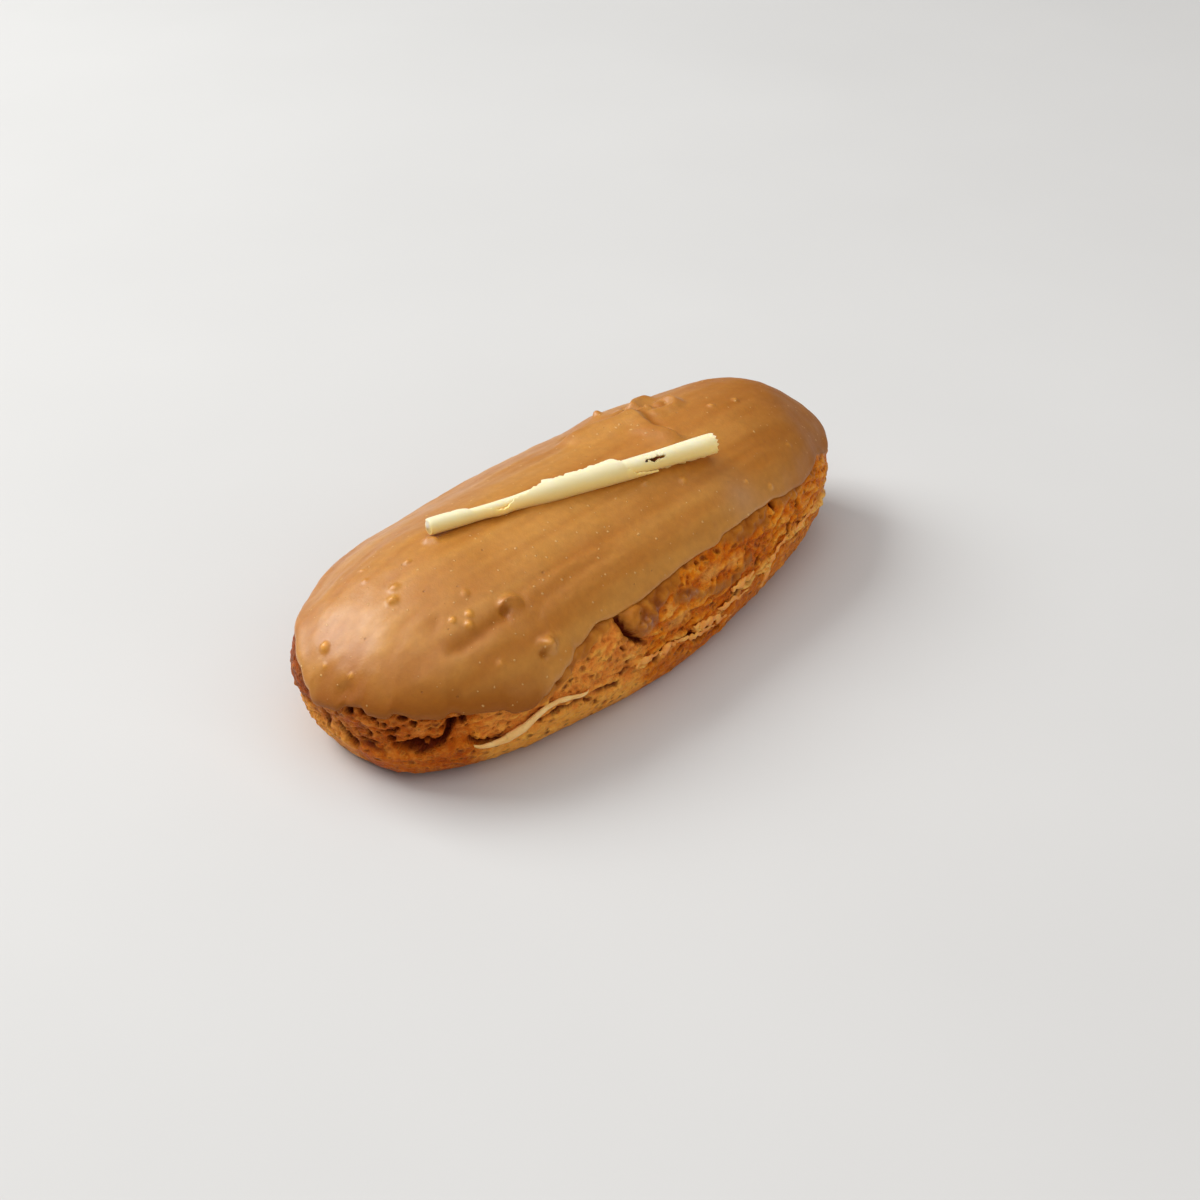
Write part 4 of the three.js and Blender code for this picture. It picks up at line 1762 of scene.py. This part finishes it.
@dataclass
class CoffeeIcing:
    """The icing skin: a rolled edge bead, soft swells, spreading streaks, lumps and a fold at the back."""

    form: BunForm
    edge: IcingEdge
    noise: ReliefNoise
    finish: IcingFinish
    columns: int = 820
    bead_rows: int = 10
    dome_rows: int = 100
    lining_rows: int = 6
    thickness: float = 1.6
    thin_edge: Stretch = Stretch(0.66, 0.94, 0.015)
    thin_share: float = 0.55
    thin_reach: float = 7.0
    bead: float = 1.2
    bead_start: float = -75.0
    bead_end: float = 90.0
    swells: Layers = (Layer(0.3, 24.0), Layer(0.22, 10.0), Layer(0.07, 4.0))
    streaks: Layers = (Layer(0.6, 4.4), Layer(0.45, 2.2))
    streak_start: Pair = (2.0, 6.0)
    streak_tone: Pair = (0.5, 1.2)
    streak_draw: Triple = (0.08, 1.0, 1.0)
    streak_height: float = 0.2
    edge_swell: float = 0.35
    swell_half: float = 1.6
    pools: tuple[Stretch, ...] = (Stretch(0.502, 0.62, 0.014),)
    far_pools: tuple[Stretch, ...] = (Stretch(0.91, 1.0, 0.03), Stretch(0.0, 0.12, 0.05))
    far_pool: float = 0.65
    pool_reach: Pair = (11.0, 1.0)
    pool_share: float = 0.7
    rim_share: float = 0.4
    rim_reach: Pair = (5.0, 0.5)
    wander: Layers = (Layer(0.9, 6.5), Layer(0.3, 2.4))
    wander_step: float = 50.0
    lump_fray: Layers = (Layer(0.25, 1.1), Layer(0.35, 2.6))
    bloom: Triple = (23.4, -21.6, 3.0)
    bloom_share: float = 0.6
    bloom_length: float = 1.6
    lumps: tuple[Lump, ...] = (
        Lump(-65.9, 3.2, 24.3, 0.65, 0.85, 0.9), Lump(-68.1, 1.1, 22.2, 0.3, 0.42, 0.8),
        Lump(-67.4, -4.9, 22.5, 0.25, 0.38, 0.8), Lump(-54.6, -2.5, 30.5, 0.9, 0.9, 0.6),
        Lump(-52.3, -0.6, 31.3, 0.5, 0.8, 0.2), Lump(-47.3, -14.2, 29.4, 0.45, 0.6, 0.6),
        Lump(-48.8, -15.6, 28.3, 0.7, 0.75, 0.7), Lump(-50.4, -13.2, 29.2, 0.4, 0.5, 0.8),
        Lump(-48.0, -22.5, 23.0, 0.4, 0.7, 0.3), Lump(-53.4, 6.1, 30.5, 0.25, 0.7, 0.3),
        Lump(-45.1, -11.0, 31.1, 0.25, 0.7, 0.1), Lump(-46.1, 2.2, 32.7, 0.45, 0.6, 0.5),
        Lump(-51.0, 9.6, 30.3, 0.25, 0.5, 0.4), Lump(-38.7, -24.6, 23.2, 1.9, 1.25, 0.3),
        Lump(-37.5, -24.4, 23.7, 0.5, 1.0), Lump(13.8, -13.7, 30.9, 0.35, 0.7, 0.5),
        Lump(6.3, -10.3, 32.1, 0.35, 0.7), Lump(26.7, -19.4, 27.3, 0.3, 0.5, 0.5),
        Lump(32.4, -21.4, 25.0, 0.3, 0.55, 0.5), Lump(44.6, -16.2, 27.2, 0.2, 0.6, 0.2),
        Lump(29.2, 7.6, 33.0, 0.7, 1.1), Lump(32.2, 7.4, 33.0, 0.6, 1.2), Lump(23.6, 16.5, 30.2, 1.0, 1.0),
        Lump(43.9, -3.5, 33.2, 0.5, 0.8, 0.4), Lump(37.7, -1.8, 33.4, 0.35, 0.7, 0.3),
    )
    dents: tuple[Lump, ...] = (
        Lump(-41.5, -17.1, 28.6, 0.9, 0.95), Lump(-69.2, -5.1, 20.1, 0.7, 1.8),
        Lump(-57.5, -20.9, 19.1, 0.45, 2.2), Lump(-40.1, -24.9, 22.6, 0.75, 0.95),
        Lump(31.4, 6.3, 33.2, 0.5, 2.0), Lump(23.6, -1.4, 33.5, 0.6, 0.9),
    )
    ridges: tuple[Wrinkle, ...] = (
        Wrinkle(((6.0, 13.2), (15.5, 10.6), (18.5, 8.4), (24.2, 7.8)), 1.8, 1.2, 4.6, run_in=6.0),
        Wrinkle(
            ((24.2, 7.8), (23.0, 5.2), (21.4, 0.0), (22.1, -2.2), (22.7, -5.7), (24.6, -8.4)),
            1.5, 1.1, 4.6, run_out=6.0,
        ),
        Wrinkle(((25.6, 5.8), (29.6, 3.4), (33.3, 3.4), (35.4, 5.2), (35.6, 9.4)), 1.1, 0.9, 1.3, 2.5, 3.0),
        Wrinkle(((26.6, 9.6), (29.4, 11.4), (33.0, 12.2), (37.6, 12.0)), 1.3, 0.9, 1.7, 2.0, 3.5),
        Wrinkle(((-42.6, -17.4), (-40.7, -16.1), (-39.2, -16.5), (-37.8, -18.2)), 1.1, 0.65, 0.85, 1.2, 1.6),
        Wrinkle(((-36.0, -17.8), (-28.0, -17.0), (-16.0, -17.2)), 0.16, 0.9, 1.6),
        Wrinkle(((-35.0, -21.0), (-26.0, -20.6), (-14.0, -20.2)), 0.14, 0.9, 1.6),
        Wrinkle(((-40.2, 4.9), (-38.7, 3.1), (-37.4, 1.9)), 0.7, 0.9, 0.9, 1.4, 1.4),
    )
    grooves: tuple[Wrinkle, ...] = (
        Wrinkle(
            ((-41.4, -17.8), (-44.6, -17.9), (-49.0, -17.5), (-53.0, -17.2), (-57.0, -16.4)),
            -0.5, 0.9, 1.4, 1.0, 4.0,
        ),
        Wrinkle(((-51.4, -11.8), (-54.3, -11.4), (-57.0, -11.0)), -0.25, 1.0, 1.4, 2.0, 3.0),
        Wrinkle(
            ((8.6, 14.8), (16.6, 12.6), (20.0, 10.4), (26.0, 9.4), (25.4, 5.0), (23.6, -1.0)),
            -0.6, 1.5, 1.0, 4.0, 4.0,
        ),
    )
    slopes: tuple[Wrinkle, ...] = (Wrinkle(((-54.0, 18.0), (-35.0, 18.6), (-16.0, 20.8)), -0.9, 7.0, 7.0),)
    slumps: tuple[Lump, ...] = (
        Lump(61.0, -11.5, 24.2, 1.6, 9.0), Lump(55.0, 7.0, 29.4, -0.7, 10.0),
        Lump(27.0, 17.0, 29.5, -0.9, 8.0),
    )
    # Painted shade in amber in the dents and grooves, and towards the far end.
    amber_depth: float = 0.7
    amber_share: float = 0.85
    far_tone: float = 0.68
    far_reach: Pair = (24.0, 58.0)

    def _relief(self, place: Array, above: Array) -> tuple[Array, Masks]:
        """Relief of the icing's upper face and the masks for its colours.

        Args:
            place: Points on the bun's smooth skin.
            above: Distance of each from the icing's edge.

        Returns:
            Height above the plain icing, and the masks.
        """
        along = place[..., 0] - self.form.shift
        across = place[..., 1]
        streak = self.noise.waves(place * self.streak_draw, self.streaks)
        begun = ease(*self.streak_start, above)
        relief = self.noise.waves(place, self.swells) + self.streak_height * streak * begun
        nub = np.zeros_like(along)
        uneven = self.noise.waves(place, self.lump_fray)
        centred = place - (self.form.shift, 0, 0)
        for lump in self.lumps:
            hump = lump.hump(centred, uneven * lump.radius)
            relief += lump.height * hump
            nub = np.maximum(nub, lump.yellow * hump)
        sunk = np.zeros_like(along)
        for dent in self.dents:
            sunk += dent.height * dent.hump(centred)
        along = along + self.noise.waves(place, self.wander)
        across = across + self.noise.waves(place + self.wander_step, self.wander)
        # The root of the cubes keeps the higher of two ridges where they meet, with a soft join.
        relief += np.cbrt(sum(wrinkle.rise(along, across) ** 3 for wrinkle in self.ridges))
        sunk -= np.min([wrinkle.rise(along, across) for wrinkle in self.grooves], axis=0)
        relief -= sunk
        broad = np.min([wrinkle.rise(along, across) for wrinkle in self.slopes], axis=0)
        relief += broad - sum(slump.height * slump.hump(centred) for slump in self.slumps)
        x, y, reach = self.bloom
        # Painted shade that grows towards the far end.
        far = self.far_tone * ease(*self.far_reach, along)
        usual, gain = self.streak_tone
        masks = {
            Mask.STREAK: np.clip(usual + gain * streak, 0, 1),
            Mask.BLOOM: self.bloom_share * bell(np.hypot((along - x) / self.bloom_length, across - y), reach),
            Mask.NUB: nub,
            # Amber: painted shade in the dents and grooves and towards the far end.
            Mask.AMBER_AND_SHADE: np.maximum(self.amber_share * np.clip(sunk / self.amber_depth, 0, 1), far),
        }
        return relief, masks

    def build(self, shared: SharedEffects) -> Object:
        """Makes the icing and dresses it.

        Args:
            shared: The shared node groups.

        Returns:
            The icing.
        """
        ring = np.arange(self.columns) / self.columns
        lowest = self.form.climb_at_height(self.edge.height(ring))
        turn = np.radians(np.linspace(self.bead_start, self.bead_end, self.bead_rows))[:, None]
        rolled = lowest + self.bead * (1 - np.cos(turn))
        upward = np.linspace(0, 1, self.dome_rows + 1)[1:, None]
        dome = rolled[-1] + (self.form.crest_climb - rolled[-1]) * upward
        inward = np.linspace(1, 0, self.lining_rows + 1)[:-1, None]
        lining = rolled[0] + (self.form.crest_climb - rolled[0]) * inward
        climbs = np.vstack([lining, rolled, dome])
        station, latitude = self.form.grid(self.columns, climbs)
        place = self.form.skin(station, latitude, np.zeros_like(station))
        above = climbs - lowest
        relief, masks = self._relief(place, above)
        near_pools = np.max([pool.share(station) for pool in self.pools], axis=0)
        far_pools = self.far_pool * np.max([pool.share(station) for pool in self.far_pools], axis=0)
        nearby = self.pool_share * ease(*self.pool_reach, above)
        nearby += self.rim_share * ease(*self.rim_reach, above)
        masks[Mask.AMBER_AND_SHADE] = np.maximum(masks[Mask.AMBER_AND_SHADE], np.maximum(near_pools, far_pools) * nearby)
        rolling = 0.5 + 0.5 * np.sin(turn[:, 0])
        rim = np.concatenate([np.zeros(self.lining_rows), rolling, np.ones(self.dome_rows)])
        thin_edge = self.thin_edge.share(station)
        thin = thin_edge * ease(self.thin_reach, 0.0, above)
        swollen = self.edge_swell * (1 - thin_edge) * bell(above - self.bead, self.swell_half)
        thickness = self.thickness * (1 - (1 - self.thin_share) * thin) + swollen
        points = self.form.skin(station, latitude, (thickness + relief) * rim[:, None])
        piece = make_piece("icing", points, masks)
        dress(piece, self.finish.material(shared), Slot.ICING, CadNode.ICING)
        return piece


@dataclass(frozen=True)
class Strand:
    """One strand of dough: its name, its route as stations and heights, its width, and how ragged it is."""

    name: str
    route: Stops
    width: float
    profile: Stops = ((0.0, 0.2), (0.12, 0.75), (0.35, 1.0), (0.7, 0.75), (1.0, 0.2))
    wobble: Layer = Layer(0.7, 1.1)
    sway: Layer = Layer(0.6, 2.2)
    ripple: Layer = Layer(0.3, 1.8)
    lift: float = 0.3
    flatness: float = 0.4


@dataclass
class DoughStrands:
    """Tapered strands of pale dough: a long thread across the split, and shreds along the split."""

    form: BunForm
    noise: ReliefNoise
    finish: ThreadFinish
    shred_finish: ThreadFinish = ThreadFinish(srgb(252, 180, 80), srgb(224, 128, 30))
    thread: Strand = Strand(
        "dough_thread",
        ((0.586, 8.5), (0.597, 8.0), (0.607, 8.3), (0.617, 9.6), (0.625, 11.2), (0.632, 12.4), (0.64, 12.7),
         (0.648, 12.0), (0.656, 11.3), (0.664, 11.0)),
        2.3, ((0.0, 0.22), (0.1, 0.65), (0.28, 1.0), (0.45, 0.7), (0.7, 0.52), (0.9, 0.39), (1.0, 0.17)),
        wobble=Layer(0.12, 2.2), sway=Layer(0.1, 4.0), ripple=Layer(0.1, 3.0), lift=0.6, flatness=0.55,
    )
    shreds: tuple[Strand, ...] = (
        Strand("shred_1", ((0.701, 10.0), (0.7059, 10.4), (0.7147, 10.5), (0.7224, 9.9)), 1.6),
        Strand("shred_2", ((0.7225, 9.3), (0.7265, 9.6), (0.7318, 9.7), (0.7382, 9.4)), 2.2),
        Strand("shred_3", ((0.737, 10.0), (0.7535, 7.8), (0.7641, 7.1), (0.7729, 6.7), (0.7794, 6.2)), 1.3),
        Strand("shred_4", ((0.756, 10.3), (0.7624, 9.5), (0.7753, 8.6), (0.7859, 6.5), (0.7994, 5.7)), 2.0),
        Strand("shred_5", ((0.78, 10.0), (0.7853, 9.8), (0.7941, 9.7), (0.8053, 9.1), (0.814, 8.8)), 1.4),
        Strand(
            "shred_6", ((0.793, 12.6), (0.7976, 12.5), (0.8053, 12.4), (0.8112, 12.3), (0.818, 12.8)), 2.0,
        ),
        Strand(
            "shred_7",
            ((0.836, 4.6), (0.8353, 7.6), (0.837, 10.2), (0.842, 12.0), (0.85, 13.6), (0.858, 14.6)),
            1.6,
        ),
        Strand("shred_8", ((0.851, 13.4), (0.8647, 13.6), (0.88, 13.4), (0.8941, 13.4), (0.908, 14.0)), 1.3),
    )
    steps: int = 120
    sides: int = 16
    tip: float = 0.06

    def _shape(self, strand: Strand) -> Array:
        """Points of one strand that lies on the bun's skin.

        Args:
            strand: The strand.

        Returns:
            Points in millimetres, shaped steps by sides by 3.
        """
        noise = self.noise
        along = np.linspace(0, 1, self.steps)
        marks = np.linspace(0, 1, len(strand.route))
        station = follow(tuple(zip(marks, [stop[0] for stop in strand.route])), along)
        height = follow(tuple(zip(marks, [stop[1] for stop in strand.route])), along)
        latitude = self.form.latitude_at_climb(self.form.climb_at_height(height))
        bare = self.form.skin(station, latitude, 0 * along)
        outward = self.form.skin(station, latitude, 1 + 0 * along) - bare
        sideways = np.cross(np.gradient(bare, axis=0), outward)
        sideways /= np.linalg.norm(sideways, axis=1, keepdims=True)
        ripple = noise.wave(bare + strand.ripple.size / 2, strand.ripple.size)
        lift = strand.lift + strand.ripple.height * ripple
        lift *= ease(0, self.tip, along) * ease(1, 1 - self.tip, along)
        sway = strand.sway.height * noise.wave(bare, strand.sway.size)
        path = bare + outward * lift[:, None] + sideways * sway[:, None]
        uneven = 1 + strand.wobble.height * noise.wave(bare, strand.wobble.size)
        half = strand.width / 2 * follow(strand.profile, along) * uneven
        half[[0, -1]] = 0
        angle = np.arange(self.sides) / self.sides * 2 * np.pi
        across = sideways[:, None] * np.cos(angle)[None, :, None]
        proud = outward[:, None] * np.sin(angle)[None, :, None] * strand.flatness
        return path[:, None] + (across + proud) * half[:, None, None]

    def build(self, shared: SharedEffects) -> list[Object]:
        """Makes the strands and dresses them.

        Args:
            shared: The shared node groups.

        Returns:
            The strands, the thread first.
        """
        pieces = []
        finish, shred_finish = self.finish.material(shared), self.shred_finish.material(shared)
        for strand in (self.thread, *self.shreds):
            piece = make_piece(strand.name, self._shape(strand), {})
            dress(piece, finish if strand is self.thread else shred_finish, Slot.CRUST)
            pieces.append(piece)
        return pieces


@dataclass
class WhiteChocolateCurl:
    """A sheet of white chocolate rolled into a stick, with a torn outer flap and a small hole.

    The winding angle counts from straight down, through the -Y side at 90 degrees and the top at 180.
    """

    form: BunForm
    noise: ReliefNoise
    finish: ChocolateFinish
    centre: Triple = (-7.0, -4.1, 36.35)
    yaw: float = -16.8
    tilt: float = -0.7
    length: float = 65.0
    thickness: float = 0.42
    pitch: float = 0.5
    start_radius: Stops = (
        (0.0, 0.8), (0.06, 0.8), (0.2, 0.7), (0.26, 0.76), (0.42, 1.25), (0.75, 1.46), (1.0, 1.78),
    )
    inner_edge: Stops = ((0.0, -460.0), (0.08, -420.0), (0.3, -40.0), (1.0, -36.0))
    free_edge: Stops = (
        (0.0, 218.0), (0.11, 208.0), (0.15, 150.0), (0.2, 124.0), (0.248, 104.0), (0.262, 124.0),
        (0.285, 140.0), (0.32, 156.0), (0.36, 172.0), (0.383, 184.0), (0.393, 210.0), (0.415, 194.0),
        (0.45, 186.0), (0.47, 196.0), (0.53, 192.0), (0.63, 206.0), (0.652, 180.0), (0.67, 122.0),
        (0.7, 86.0), (0.74, 64.0), (0.784, 48.0), (0.79, 2.0), (1.0, 0.0),
    )
    loose: float = 0.45
    flap_turn: Pair = (1.0, 1.6)
    flap_start: Pair = (0.12, 0.3)
    flap_end: Pair = (0.9, 0.75)
    slit: Triple = (0.225, 0.06, 0.4)
    slit_turn: float = 0.35
    tear: float = 15.0
    tears: Layers = (Layer(1.0, 2.2), Layer(0.7, 0.8))
    unevenness: float = 0.025
    uneven_draw: Triple = (1.0, 1.0, 12.0)
    ring_height: float = 0.02
    ring_size: float = 0.55
    ring_start: Pair = (0.35, 0.6)
    columns: int = 260
    steps: int = 150
    closed_end: float = 0.8
    closed_power: float = 4.0
    hole: Pair = (0.775, 137.0)
    hole_half: Pair = (2.1, 0.3)
    hole_wander: Layer = Layer(0.45, 1.3)
    hole_fray: Layers = (Layer(0.9, 1.2), Layer(0.5, 0.6))
    hole_shade_reach: float = 2.6
    chip: float = 1.0
    chip_size: float = 0.55
    chip_floor: float = 0.2
    chip_draw: Triple = (1.5, 1.5, 0.0)
    chip_start: Pair = (0.94, 1.0)
    sharp_corner: float = 55.0
    # Painted light: the turn round the roll that is whitest, and the border of the whiter side.
    sun: float = 20.0
    sun_border: Pair = (0.3, -1.0)

    def _sheet(self) -> tuple[Array, Array, Masks]:
        """Middle of the rolled sheet.

        Returns:
            Points about the roll's own axis, shaped steps by columns by 3, where the sheet is torn away, and
            the masks for its colours.
        """
        noise, full = self.noise, 2 * np.pi
        share = np.linspace(0, 1, self.columns)
        tear_at = np.stack([share * self.length, 0 * share, 0 * share], axis=-1)
        start = np.radians(follow(self.inner_edge, share))
        end = np.radians(360 + follow(self.free_edge, share) + self.tear * noise.waves(tear_at, self.tears))
        angle = start + (end - start) * np.linspace(0, 1, self.steps)[:, None]
        flap = ease(*self.flap_turn, angle / full)
        flap = flap * ease(*self.flap_start, share) * ease(*self.flap_end, share)
        middle, half, gape = self.slit
        lifted = gape * ease(self.slit_turn, 0.0, (end - angle) / full) * bell(share - middle, half)
        radius = follow(self.start_radius, share) + self.pitch * angle / full + self.loose * flap + lifted
        rim = np.stack([np.cos(angle), np.sin(angle), np.broadcast_to(share, angle.shape)], axis=-1)
        radius = radius * (1 + self.unevenness * noise.wave(rim * self.uneven_draw, 1.0))
        rings = self.ring_height * noise.wave(tear_at, self.ring_size) * ease(*self.ring_start, share)
        radius = radius + rings
        shut = np.clip(share * self.length / self.closed_end, 0, 1)
        radius = radius * (1 - (1 - shut) ** self.closed_power) ** (1 / self.closed_power)
        chips = np.abs(noise.wave(rim * self.chip_draw, self.chip_size)) - self.chip_floor
        along = (share - 0.5) * self.length - self.chip * chips * ease(*self.chip_start, share)
        points = np.stack([along, -radius * np.sin(angle), -radius * np.cos(angle)], axis=-1)
        beside = (share - self.hole[0]) * self.length
        wander = self.hole_wander.height * noise.wave(tear_at, self.hole_wander.size)
        round_it = np.abs(radius * (angle - np.radians(self.hole[1])) + wander)
        apart = np.hypot(beside / self.hole_half[0], round_it / self.hole_half[1])
        gone = apart + noise.waves(points, self.hole_fray) < 1
        # Painted shade in icing brown on the inner wall opposite the hole, where the icing would show through
        # in shadow.
        opposite = radius * np.abs(angle - np.radians(self.hole[1] + 180))
        stain = bell(np.hypot(beside, opposite), self.hole_shade_reach)
        # Painted light: whiter on the roll's upper side.
        painted_toplight = ease(*self.sun_border, np.cos(angle - math.radians(self.sun)))
        return points, gone, {Mask.HOLE_SHADE: stain * (angle < full), Mask.TOP: painted_toplight}

    def build(self, shared: SharedEffects) -> Object:
        """Makes the curl and dresses it.

        Args:
            shared: The shared node groups.

        Returns:
            The curl.
        """
        points, gone, masks = self._sheet()
        points[..., 2] += points[..., 0] * math.tan(math.radians(self.tilt))
        turn = math.radians(self.yaw)
        cosine, sine = math.cos(turn), math.sin(turn)
        spin = np.array([[cosine, -sine, 0], [sine, cosine, 0], [0, 0, 1]])
        placed = points @ spin.T + self.centre + (self.form.shift, 0, 0)
        order = np.arange(self.steps * self.columns).reshape(self.steps, self.columns)
        corners = [order[:-1, :-1], order[:-1, 1:], order[1:, 1:], order[1:, :-1]]
        quads = np.stack(corners, axis=-1).reshape(-1, 4)
        kept = ~gone.reshape(-1)[quads].any(axis=1)
        mesh = bpy.data.meshes.new("curl")
        mesh.from_pydata((placed.reshape(-1, 3) * MM).tolist(), [], quads[kept].tolist())
        for mask, values in masks.items():
            write_mask(mesh, mask, values)
        piece = add_object("curl", mesh)
        thick = piece.modifiers.new("sheet", "SOLIDIFY")
        thick.thickness = self.thickness * MM
        thick.offset = 0
        self._apply(piece)
        # The hole's painted shade goes on the inner face of the sheet only.
        inside = np.zeros(len(piece.data.vertices))
        inside[order.size: 2 * order.size] = masks[Mask.HOLE_SHADE].reshape(-1)
        write_mask(piece.data, Mask.HOLE_SHADE, inside)
        dress(piece, self.finish.material(shared), Slot.CHOCOLATE, CadNode.CURL)
        return piece

    def _apply(self, piece: Object) -> None:
        """Keeps the result of a piece's modifiers as its mesh.

        Args:
            piece: The piece.
        """
        graph = bpy.context.evaluated_depsgraph_get()
        solid = bpy.data.meshes.new_from_object(piece.evaluated_get(graph))
        piece.modifiers.clear()
        piece.data = solid
        solid.shade_smooth()
        solid.set_sharp_from_angle(angle=math.radians(self.sharp_corner))


@dataclass(frozen=True)
class Softbox:
    """A square soft light: where it stands as seen from the object, its size, power, shine and colour."""

    name: str
    azimuth: float
    elevation: float
    distance: float
    size: float
    power: float
    shines: bool = True
    colour: Triple = (1.0, 0.99, 0.975)


@dataclass
class Studio:
    """Pale floor, a window-like light, a broad one overhead, a front one without shine, and the camera."""

    finish: FloorFinish
    floor_size: float = 6.0
    target: Triple = (7.8, 1.9, 0.0)
    azimuth: float = -48.5
    elevation: float = 33.0
    distance: float = 461.5
    lens: float = 66.0
    softboxes: tuple[Softbox, ...] = (
        Softbox("window", -158.0, 42.0, 1.3, size=0.81, power=16.1, colour=(0.96, 0.99, 0.98)),
        Softbox("overhead", -100.0, 82.0, 1.6, size=2.2, power=15.0),
        Softbox("front", -10.0, 30.0, 1.5, size=1.3, power=6.6, shines=False),
    )
    fill: Colour = (1.0, 0.99, 0.98, 1.0)
    fill_strength: float = 0.19
    nearest: float = 0.01

    @staticmethod
    def _towards(azimuth: float, elevation: float) -> Vector:
        """Direction from the object to something seen from an azimuth and elevation in degrees."""
        turn, rise = math.radians(azimuth), math.radians(elevation)
        return Vector((math.sin(turn) * math.cos(rise), -math.cos(turn) * math.cos(rise), math.sin(rise)))

    def _aim(self, thing: Object, azimuth: float, elevation: float, distance: float) -> None:
        """Puts a light or camera at a direction and distance from the target, looking at it.

        Args:
            thing: The light or camera.
            azimuth: Direction round the object, in degrees.
            elevation: Direction above the floor, in degrees.
            distance: Distance in metres.
        """
        back = self._towards(azimuth, elevation)
        thing.location = Vector(self.target) * MM + back * distance
        thing.rotation_euler = (-back).to_track_quat("-Z", "Y").to_euler()
        bpy.context.scene.collection.objects.link(thing)

    def _camera(self) -> None:
        """Makes the camera and looks through it."""
        camera = bpy.data.objects.new("camera", bpy.data.cameras.new("camera"))
        camera.data.lens = self.lens
        camera.data.clip_start = self.nearest
        self._aim(camera, self.azimuth, self.elevation, self.distance * MM)
        bpy.context.scene.camera = camera

    def _lights(self) -> None:
        """Makes the softboxes and the even light all round."""
        for box in self.softboxes:
            light = bpy.data.lights.new(box.name, "AREA")
            light.energy = box.power
            light.size = box.size
            light.color = box.colour
            lamp = bpy.data.objects.new(box.name, light)
            lamp.visible_glossy = box.shines
            self._aim(lamp, box.azimuth, box.elevation, box.distance)
        world = bpy.data.worlds.new("studio")
        world.use_nodes = True
        sky = world.node_tree.nodes["Background"]
        sky.inputs["Color"].default_value = self.fill
        sky.inputs["Strength"].default_value = self.fill_strength
        bpy.context.scene.world = world

    def _floor(self, shared: SharedEffects) -> None:
        """Makes the floor.

        Args:
            shared: The shared node groups.
        """
        half = self.floor_size / 2
        corners = [(-half, -half, 0), (half, -half, 0), (half, half, 0), (-half, half, 0)]
        mesh = bpy.data.meshes.new("floor")
        mesh.from_pydata(corners, [], [(0, 1, 2, 3)])
        mesh.materials.append(self.finish.material(shared))
        floor = bpy.data.objects.new("floor", mesh)
        bpy.context.scene.collection.objects.link(floor)

    def build(self, shared: SharedEffects) -> None:
        """Makes the floor, the lights and the camera.

        Args:
            shared: The shared node groups.
        """
        self._camera()
        self._lights()
        self._floor(shared)
        bpy.context.scene.view_settings.view_transform = "Standard"


def main() -> None:
    """Builds the pieces in order, then the studio, and notes the sizes."""
    logging.basicConfig(level=logging.INFO, format="%(name)s: %(message)s")
    shared = SharedEffects()
    form = BunForm()
    edge = IcingEdge(form, ReliefNoise(Seed.EDGE))
    ChouxCrust(form, edge, ReliefNoise(Seed.CRUST), CrustFinish()).build(shared)
    CoffeeIcing(form, edge, ReliefNoise(Seed.ICING), IcingFinish()).build(shared)
    DoughStrands(form, ReliefNoise(Seed.STRANDS), ThreadFinish()).build(shared)
    WhiteChocolateCurl(form, ReliefNoise(Seed.CURL), ChocolateFinish()).build(shared)
    Studio(FloorFinish()).build(shared)


if __name__ == "__main__":
    main()
